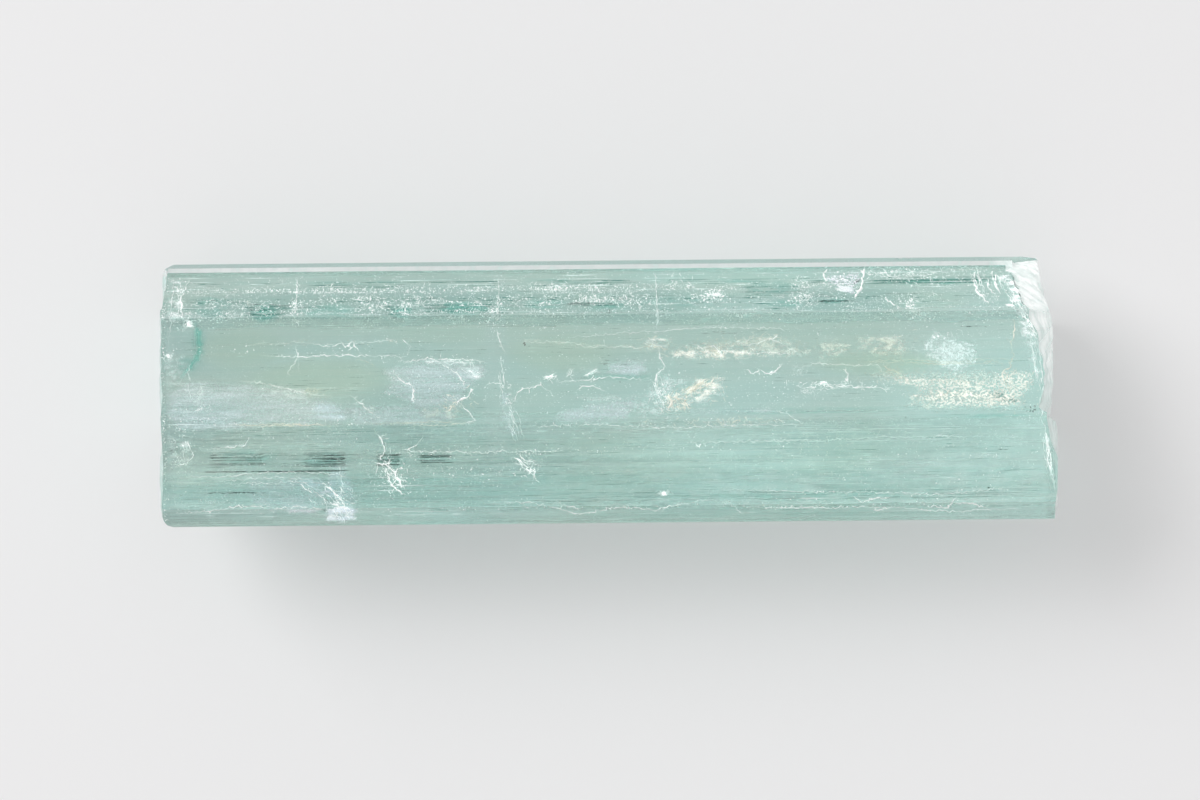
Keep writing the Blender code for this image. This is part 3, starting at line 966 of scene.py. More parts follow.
# each group of needles: area, count, half length, half width, depth, clumping, lines across the area
paleNeedles = {
    "seed": 31, "colour": (0.86, 0.97, 0.95), "glow": 0.15,
    "groups": [
        ((-14.4, 14.2, -3.7, -1), 900, (0.1, 1.3), (0.004, 0.01), (0.03, 0.6), 0.3, 50),
        ((-14.4, 14.2, -1.3, 2.3), 620, (0.08, 0.9), (0.003, 0.008), (0.03, 0.4), 0.4, 60),
        ((-13.8, -4, -3.3, -2.45), 420, (0.3, 2), (0.005, 0.011), (0.02, 0.2), 0.2, 11),
        ((-14.2, -8.2, -1.2, 0.2), 260, (0.2, 1.4), (0.005, 0.01), (0.02, 0.3), 0.3, 14),
        ((-14.2, 13, 2.45, 4), 700, (0.1, 1.2), (0.005, 0.012), (0.02, 0.2), 0.4, 15),
        ((-14, 14.3, -4.1, -3.5), 300, (0.2, 1.2), (0.006, 0.014), (0.02, 0.1), 0.3, 6),
    ],
    # count on each lower slope, half length, half width, depth, clumping
    "slopes": [(500, (0.1, 1.6), (0.005, 0.012), (0.03, 0.2), -0.3)],
}

darkNeedles = {
    "seed": 37, "colour": (0.1, 0.3, 0.26), "glow": 0,
    "groups": [
        ((-14.2, 14.2, -3.6, -1), 560, (0.06, 0.8), (0.003, 0.007), (0.03, 0.5), 0.5, 50),
        ((-14.2, 14.2, -1.3, 2.3), 380, (0.05, 0.5), (0.003, 0.006), (0.03, 0.3), 0.6, 60),
        ((-14.2, 12.5, 2.5, 3.4), 700, (0.04, 0.45), (0.005, 0.014), (0.02, 0.15), 0.6, 14),
        ((-14, 13.8, 3.55, 3.75), 320, (0.1, 0.8), (0.005, 0.014), (0.02, 0.15), 0.6, 4),
        ((8.9, 12.5, 3.5, 3.62), 260, (0.12, 0.7), (0.006, 0.014), (0.02, 0.1), 0.3, 3),
        ((-6, -3.9, 2.68, 2.92), 160, (0.06, 0.4), (0.006, 0.014), (0.02, 0.1), 0.3, 5),
        ((-12, -10.7, 2.5, 2.9), 120, (0.06, 0.3), (0.006, 0.014), (0.02, 0.1), 0.3, 7),
        ((-7.4, -6.4, 2.6, 2.9), 80, (0.06, 0.3), (0.006, 0.014), (0.02, 0.1), 0.3, 5),
        ((4.6, 6.6, 3.2, 3.5), 120, (0.06, 0.5), (0.005, 0.012), (0.02, 0.1), 0.3, 6),
        ((-2, 14.3, -3.7, -3.35), 240, (0.15, 0.9), (0.004, 0.01), (0.02, 0.15), 0.5, 7),
        ((-13.4, -8, -2.1, -1.2), 120, (0.1, 0.7), (0.004, 0.008), (0.02, 0.2), 0.5, 10),
        ((-14.2, -8.3, 0.05, 0.45), 60, (0.1, 0.5), (0.004, 0.008), (0.02, 0.2), 0.5, 4),
    ],
    "slopes": [(260, (0.08, 0.9), (0.004, 0.01), (0.03, 0.15), 0.1)],
}

blackNeedles = {
    "seed": 38, "colour": (0.02, 0.055, 0.048), "glow": 0,
    "groups": [
        ((-13.25, -11.5, -2.4, -1.95), 520, (0.03, 0.22), (0.003, 0.007), (0.005, 0.05), 0.3, 17),
        ((-10.9, -10, -2.45, -1.95), 60, (0.03, 0.2), (0.003, 0.006), (0.005, 0.05), 0.3, 14),
        ((-10.1, -8.75, -2.48, -1.92), 460, (0.03, 0.22), (0.004, 0.009), (0.005, 0.05), 0.2, 18),
        ((-9.5, -8.85, -2.4, -2.05), 150, (0.03, 0.18), (0.005, 0.012), (0.005, 0.05), 0, 11),
        ((-7.7, -6.98, -2.44, -2.02), 240, (0.03, 0.18), (0.004, 0.009), (0.005, 0.05), 0.2, 12),
        ((-6.25, -5.3, -2.38, -2.08), 220, (0.04, 0.25), (0.004, 0.009), (0.005, 0.05), 0.2, 9),
        ((-13.4, -8.8, -2.58, -2.55), 160, (0.05, 0.4), (0.005, 0.009), (0.002, 0.01), 0, 0),
        ((-13.3, -11.4, -3.28, -3.24), 60, (0.02, 0.08), (0.006, 0.012), (0.002, 0.02), 0.2, 0),
        ((-11.9, -10.7, 2.75, 3.05), 18, (0.05, 0.4), (0.004, 0.01), (0.005, 0.04), 0.3, 5),
        ((-1.28, 0.35, 2.8, 2.95), 26, (0.05, 0.4), (0.005, 0.012), (0.005, 0.04), 0.2, 3),
        ((7.1, 8, 2.88, 3), 26, (0.06, 0.35), (0.005, 0.012), (0.005, 0.04), 0.2, 2),
        ((-0.25, 0.95, 0.8, 1.02), 12, (0.05, 0.3), (0.003, 0.007), (0.005, 0.04), 0.2, 3),
        ((3.2, 4.3, 1.85, 2.05), 8, (0.05, 0.35), (0.003, 0.008), (0.005, 0.04), 0.2, 2),
        ((11.6, 12.6, 1.95, 2.1), 10, (0.05, 0.3), (0.003, 0.008), (0.005, 0.04), 0.2, 2),
        ((12.85, 13.15, -2.1, -2.06), 3, (0.08, 0.12), (0.01, 0.015), (0.02, 0.05), 0, 1),
    ],
}


def makeNeedles(name, plan):
    # needles in each group's area, then those under the lower slopes
    random = np.random.default_rng(plan["seed"])
    parts = [needles(random, scatter(random, count, area, depth, patch, rows, 0.12), halfLength, halfWidth)
             for area, count, halfLength, halfWidth, depth, patch, rows in plan["groups"]]
    parts += [needles(random, underSlopes(random, count, depth, patch), halfLength, halfWidth)
              for count, halfLength, halfWidth, depth, patch in plan.get("slopes", ())]
    inside(name, plan, parts)


# each group of crumbs: area, count, grain size, depth, clumping
whiteCrumbs = {
    "seed": 41, "colour": (0.97, 0.99, 0.985), "glow": 0.26,
    "groups": [
        ((-14, 14.2, 4.03, 4.22), 260, (0.006, 0.022), (-0.02, 0.03), 0.5),
        ((-14.4, 3, 2.45, 3.55), 2400, (0.006, 0.03), (0.003, 0.05), 0.7),
        ((3, 12, 2.45, 3.55), 900, (0.006, 0.028), (0.003, 0.05), 0.8),
        ((-13.9, 1, 3.28, 3.52), 900, (0.008, 0.034), (0.003, 0.04), 0.5),
        ((-14.2, 8.5, 3.55, 4), 500, (0.006, 0.022), (0.003, 0.05), 0.8),
        ((8.6, 13, 3.74, 4.05), 140, (0.008, 0.032), (0.003, 0.05), 0.8),
        ((-14.6, 14.4, 2.38, 2.56), 500, (0.008, 0.036), (0.003, 0.06), 0.8),
        ((-14.6, 14.6, -3.95, -3.65), 600, (0.008, 0.034), (0.003, 0.05), 0.7),
        ((-14.75, -14, -4, 3.9), 260, (0.008, 0.036), (0.003, 0.06), 0.3),
        ((-14.92, -14.72, -4.2, 4.1), 700, (0.008, 0.032), (0.003, 0.05), 0.4),
        ((-14.2, -8.3, -1.2, 0.3), 700, (0.006, 0.02), (0.01, 0.2), 0.5),
        ((-8.4, -2.2, -3.3, -1.9), 500, (0.008, 0.034), (0.003, 0.08), 0.7),
        ((6, 14.2, -2, 1.6), 500, (0.006, 0.022), (0.003, 0.15), 0.7),
        ((13, 14.3, 2.4, 3.6), 160, (0.008, 0.032), (0.003, 0.05), 0.6),
        ((-14.2, 14.3, -1.3, -0.95), 700, (0.006, 0.024), (0.003, 0.06), 0.7),
        ((-14.4, 14.2, -4, 2.4), 1100, (0.012, 0.028), (0.003, 0.03), 0.3),
        ((-13.8, -6.5, 0.3, 2.4), 170, (0.012, 0.032), (0.003, 0.03), 0),
        ((1.8, 13.8, -0.7, 2.4), 260, (0.012, 0.032), (0.003, 0.03), 0.2),
        ((-14.2, 14.3, -2.05, -1.75), 420, (0.006, 0.022), (0.003, 0.06), 0.7),
    ],
    "ticks": [  # thin slanting ones, laid out in the same way
        ((-14.4, 3, 2.45, 3.6), 3800, (0.005, 0.014), (0.003, 0.05), 0.6),
        ((3, 13, 2.45, 3.6), 1900, (0.005, 0.013), (0.003, 0.05), 0.7),
        ((-14.4, 14.2, -4, 2.3), 1600, (0.003, 0.009), (0.003, 0.1), 0.6),
        ((-14.4, 14.2, 3.5, 4.2), 700, (0.004, 0.01), (0.003, 0.05), 0.7),
        ((8.6, 13, 3.6, 4.1), 380, (0.005, 0.014), (0.003, 0.05), 0.4),
        ((-8.2, -2.2, -3.3, -1.9), 260, (0.004, 0.012), (0.003, 0.06), 0.7),
        ((-14.8, -13.9, -3.9, 3.9), 160, (0.004, 0.014), (0.003, 0.06), 0.3),
    ],
    "usual": ((0.01, 0.05), (0.01, 0.06)),  # grain size and depth in the clusters
    "clusters": [  # count, centre, spread, and their own size and depth where these aren't the usual
        (60, (-13.92, 2.34), (0.1, 0.08), (0.02, 0.07)), (40, (-14.62, 1.3), (0.06, 0.04), (0.02, 0.06)),
        (30, (-14.3, 3.2), (0.04, 0.45), (0.01, 0.04)), (50, (-10.45, 2.8), (0.1, 0.25), (0.01, 0.06)),
        (110, (-9.2, 3.36), (0.22, 0.16)), (110, (-7.8, 3.1), (0.35, 0.22)), (70, (-6.8, 2.85), (0.14, 0.2)),
        (60, (-5, 2.75), (0.2, 0.12)), (120, (-1.9, 3.4), (0.4, 0.1)), (70, (-2, 2.98), (0.16, 0.12)),
        (70, (-0.5, 3.15), (0.25, 0.16)), (80, (-3.75, 2.6), (0.2, 0.2)), (50, (0.8, 3.1), (0.2, 0.22)),
        (240, (3.56, 3.2), (0.22, 0.075), (0.01, 0.05), (0.005, 0.04)),
        (260, (11.15, 1.28), (0.28, 0.18), (0.008, 0.034)),
        (240, (11.45, 0.98), (0.3, 0.22), (0.008, 0.034)), (160, (10.9, 0.85), (0.22, 0.16), (0.008, 0.034)),
        (70, (9.3, 3.92), (0.36, 0.1), (0.01, 0.05), (0.01, 0.05)), (90, (3.5, 2.95), (0.4, 0.2)),
        (60, (6.45, 3.3), (0.14, 0.24)), (60, (6.35, 2.9), (0.3, 0.1)),
        (180, (7.75, 3.55), (0.34, 0.22), (0.01, 0.05), (0.01, 0.05)), (130, (10.05, 2.75), (0.12, 0.2)),
        (150, (1.78, -3.4), (0.1, 0.032), (0.02, 0.05), (0.005, 0.03)),
        (90, (-7.4, -2.6), (0.42, 0.32), (0.01, 0.05), (0.01, 0.08)),
        (60, (-2.8, -2.4), (0.28, 0.26), (0.01, 0.05), (0.01, 0.08)),
        (120, (-8.95, -3.55), (0.28, 0.32), (0.01, 0.05), (0.01, 0.08)),
        (90, (-13.6, -0.1), (0.12, 0.3), (0.01, 0.04), (0.02, 0.1)),
        (60, (-10.05, 0.05), (0.3, 0.07), (0.01, 0.04), (0.02, 0.1)),
        (90, (-8.6, -0.45), (0.4, 0.12), (0.01, 0.04), (0.02, 0.1)),
        (40, (-14.35, -2), (0.12, 0.18), (0.01, 0.04), (0.01, 0.08)),
        (60, (-13.1, -3.56), (0.3, 0.03), (0.01, 0.05), (0.01, 0.05)),
        (60, (6.35, 0.62), (0.1, 0.08), (0.01, 0.05), (0.01, 0.08)),
        (50, (6.55, -0.05), (0.14, 0.06), (0.01, 0.05), (0.01, 0.08)),
        (60, (12.6, -2.25), (0.3, 0.05), (0.01, 0.03), (0.01, 0.08)),
    ],
}

creamCrumbs = {
    "seed": 43, "colour": (0.88, 0.9, 0.82), "glow": 0.1,
    "groups": [
        ((9.9, 14.1, -0.62, -0.05), 500, (0.008, 0.036), (0.01, 0.1), 0.8),
        ((-12.5, -4.4, -1.1, -1), 200, (0.006, 0.022), (0.01, 0.1), 0.6),
        ((-11.5, -6.5, 1.6, 1.8), 260, (0.008, 0.034), (0.01, 0.1), 0.8),
        ((-14, 14, -3.95, -3.6), 420, (0.008, 0.036), (0.01, 0.08), 0.8),
    ],
    "usual": ((0.008, 0.034), (0.01, 0.08)),
    "clusters": [
        (45, (10.5, -0.34), (0.26, 0.13), (0.01, 0.045), (0.01, 0.06)), (75, (11.15, -0.32), (0.4, 0.16)),
        (65, (12, -0.36), (0.4, 0.16)), (50, (12.8, -0.4), (0.38, 0.15)), (30, (13.5, -0.36), (0.26, 0.16)),
        (55, (9.3, 0.5), (0.4, 0.12), (0.01, 0.04)), (50, (10.3, 0.34), (0.44, 0.16)),
        (50, (11.4, 0.22), (0.48, 0.18)), (35, (12.6, 0.22), (0.44, 0.18)),
        (30, (3.1, 1.42), (0.28, 0.15), (0.008, 0.036), (0.01, 0.06)),
        (55, (3.75, 1.34), (0.32, 0.18), (0.008, 0.034), (0.01, 0.06)),
        (95, (4.9, 1.5), (0.4, 0.17), (0.008, 0.034), (0.01, 0.06)),
        (70, (5.7, 1.42), (0.38, 0.16), (0.008, 0.034), (0.01, 0.06)),
        (40, (6.4, 1.3), (0.26, 0.12), (0.01, 0.04), (0.01, 0.06)),
        (40, (1.45, 1.48), (0.24, 0.1), (0.01, 0.045), (0.01, 0.06)),
        (50, (9, 1.42), (0.34, 0.12), (0.01, 0.04), (0.01, 0.06)),
        (55, (9.5, 1.18), (0.26, 0.12), (0.01, 0.04), (0.01, 0.06)),
        (70, (2.15, -0.4), (0.22, 0.16), (0.01, 0.05)), (40, (3.35, 0.05), (0.26, 0.14), (0.01, 0.05)),
        (30, (-9.9, 0.08), (0.16, 0.04), (0.01, 0.04)), (30, (-7.95, -0.55), (0.14, 0.1), (0.01, 0.04)),
        (20, (-11.95, 3.1), (0.06, 0.14), (0.01, 0.03), (0.01, 0.05)),
        (20, (1.05, 2.75), (0.2, 0.1), (0.01, 0.03), (0.01, 0.05)),
    ],
}

darkCrumbs = {
    "seed": 47, "colour": (0.05, 0.09, 0.08), "glow": 0,
    "groups": [
        ((-14, 14, -3.9, 3.8), 46, (0.008, 0.02), (0.01, 0.06), 0),
    ],
    "usual": ((0.02, 0.04), (0.01, 0.03)),
    "clusters": [
        (7, (-2.77, 1.6), (0.03, 0.02), (0.03, 0.05)), (5, (12.56, -3.34), (0.015, 0.01)),
        (4, (9.84, -0.97), (0.015, 0.01), (0.02, 0.03)),
        (26, (-14.36, -1.75), (0.1, 0.14), (0.01, 0.04), (0.01, 0.08)), (14, (8.35, 3.62), (0.06, 0.04)),
        (12, (14, -0.75), (0.1, 0.08), (0.02, 0.04), (0.01, 0.05)),
        (10, (0, 2.62), (0.14, 0.03), (0.02, 0.03)),
    ],
}


def makeCrumbs(name, plan):
    # crumbs in each group's area, then in clusters, then drawn out thin and slanting as ticks
    random = np.random.default_rng(plan["seed"])
    parts = [crumbs(random, scatter(random, count, area, depth, patch), size)
             for area, count, size, depth, patch in plan["groups"]]
    for count, centre, spread, *own in plan["clusters"]:
        size, depth = (*own, *plan["usual"][len(own):])
        places = cluster(random, count, centre, spread, depth)
        parts.append(crumbs(random, places, size, stretch=1.2, turned=1.2))
    parts += [crumbs(random, scatter(random, count, area, depth, patch), size, stretch=6, turned=0.9)
              for area, count, size, depth, patch in plan.get("ticks", ())]
    inside(name, plan, parts)


# the finest, four-sided crumbs, in groups like the others
dust = {
    "seed": 45, "colour": (0.97, 1, 0.99), "glow": 0.28,
    "groups": [
        ((-14.85, 14.7, -4.2, 4.15), 15000, (0.006, 0.019), (0.002, 0.12), 0.35),
        ((-14.4, 3, 2.45, 3.55), 4500, (0.006, 0.018), (0.002, 0.06), 0.6),
        ((3, 13, 2.45, 3.55), 2200, (0.006, 0.018), (0.002, 0.06), 0.6),
        ((-14.6, -3.5, -3.6, -1), 3600, (0.006, 0.018), (0.002, 0.1), 0.5),
        ((-14.7, -4, -1.2, 1), 3200, (0.006, 0.016), (0.002, 0.1), 0.5),
        ((6, 14.2, -0.8, 1.8), 3200, (0.006, 0.018), (0.002, 0.1), 0.6),
        ((-14.4, 14.2, -1.1, 2.4), 8000, (0.008, 0.019), (0.002, 0.05), 0.35),
    ],
    "slopes": [(3600, (0.008, 0.024), (0.03, 0.15), 0)],  # count on each lower slope, size, depth, clumping
}


def makeDust(name, plan):
    # dust in each group's area, then under the lower slopes
    random = np.random.default_rng(plan["seed"])
    fine = {"shape": mote, "faces": moteFaces}
    parts = [crumbs(random, scatter(random, count, area, depth, patch, margin=0.03), size, **fine)
             for area, count, size, depth, patch in plan["groups"]]
    parts += [crumbs(random, underSlopes(random, count, depth, patch), size, **fine)
              for count, size, depth, patch in plan["slopes"]]
    inside(name, plan, parts)


crackShape = {
    "step": 0.07,                # length of the short steps that a crack is cut into
    "wobble": 0.022,
    "taper": 6,                  # a crack is thin over one part in this many at each end
    "tip": 0.3,
    "unevenness": (0.2, 1.5),
    "beadsPerMm": 14,
    "beadSpread": 0.035,
    "beadDepth": (0.4, 1.2),
    "sideWobble": 0.015,
    "sideReach": (0.3, 1.0),
    "sideWidth": 0.6,            # side cracks are this much narrower
    "featherWobble": 0.02,
    "laceStep": 0.04,
    "laceWobble": 0.008,
    "laceTurns": (0.9, 0.7),     # spread in radians of a line's direction, and of its two parts
    "laceParts": (0.03, 0.13),
}


def jagged(random, route, step=crackShape["step"], wobble=crackShape["wobble"]):
    # a polyline cut into short steps that each stray a little sideways
    route = np.array(route, float)
    reach = np.concatenate([[0], np.cumsum(np.linalg.norm(np.diff(route, axis=0), axis=1))])
    stops = np.linspace(0, reach[-1], max(int(reach[-1] / step), 3) + 1)
    line = np.stack([np.interp(stops, reach, route[:, axis]) for axis in (0, 1)], -1)
    stray = random.normal(0, wobble, line.shape)
    drift = np.cumsum(random.normal(0, wobble * 0.5, line.shape), axis=0)
    stray += drift * np.sin(np.linspace(0, math.pi, len(line)))[:, None]
    stray[[0, -1]] = 0
    return line + stray


def thread(random, line, depth, halfWidth, halfHeight):
    # a four-sided thread along a line of plan points at a depth under the surface, pointed at both ends
    x, y = line.T * mm
    z = roof(y) - depth * mm
    path = np.stack([x, y, z], -1)
    way = np.gradient(path, axis=0)
    way /= np.linalg.norm(way, axis=1)[:, None]
    side = np.cross((0, 0, 1), way)
    side /= np.linalg.norm(side, axis=1)[:, None]
    up = np.cross(way, side)
    full, tip = crackShape["taper"], crackShape["tip"]
    taper = np.minimum(np.linspace(0, full, len(path)), np.linspace(full, 0, len(path))).clip(tip, 1)
    wide = (halfWidth * mm * taper * random.uniform(*crackShape["unevenness"], len(path)))[1:-1, None]
    tall = (halfHeight * mm * taper)[1:-1, None]
    inner, side, up = path[1:-1], side[1:-1], up[1:-1]
    rings = np.stack([inner + side * wide, inner + up * tall, inner - side * wide, inner - up * tall], 1)
    points = np.concatenate([rings.reshape(-1, 3), path[[0, -1]]])
    return points, ringFaces(len(rings), 4)


def beads(random, line, depth, size):
    # crumbs strung along a line of plan points
    shape = crackShape
    count = max(int(len(line) * shape["step"] * shape["beadsPerMm"]), 2)
    spots = line[random.integers(0, len(line), count)]
    x, y = (spots + random.normal(0, shape["beadSpread"], (count, 2))).T * mm
    places = np.stack([x, y, roof(y) - depth * mm * random.uniform(*shape["beadDepth"], count)], -1)
    return crumbs(random, places, size, stretch=1.1)


def direction(angle):
    # one step on the plan at an angle from x
    return np.array((math.cos(angle), math.sin(angle)))


def branches(random, line, count, reach):
    # short side cracks that leave the line in any direction
    for start in line[random.integers(1, len(line) - 1, count)]:
        angle = random.uniform(0, 2 * math.pi)
        tip = start + random.uniform(*crackShape["sideReach"]) * reach * direction(angle)
        yield jagged(random, [start, tip], wobble=crackShape["sideWobble"])


def feather(random, start, end, count, spread):
    # thin lines side by side from start to end, each a little off
    start, end = np.array(start), np.array(end)
    for _ in range(count):
        shift = random.normal(0, spread, 2)
        first, last = np.sort(random.uniform(0, 1, 2))
        ends = [start + (end - start) * first + shift, start + (end - start) * last + shift]
        yield jagged(random, ends, wobble=crackShape["featherWobble"])


def lace(random, centre, spread, count):
    # short crooked lines round a centre, mostly lying along x
    shape, (turn, bend) = crackShape, crackShape["laceTurns"]
    for start in random.normal(0, 1, (count, 2)) * spread + centre:
        angles = random.normal(0, turn) + random.normal(0, bend, 2)
        steps = random.uniform(*shape["laceParts"], 2)
        middle = start + steps[0] * direction(angles[0])
        end = middle + steps[1] * direction(angles[1])
        yield jagged(random, [start, middle, end], shape["laceStep"], shape["laceWobble"])


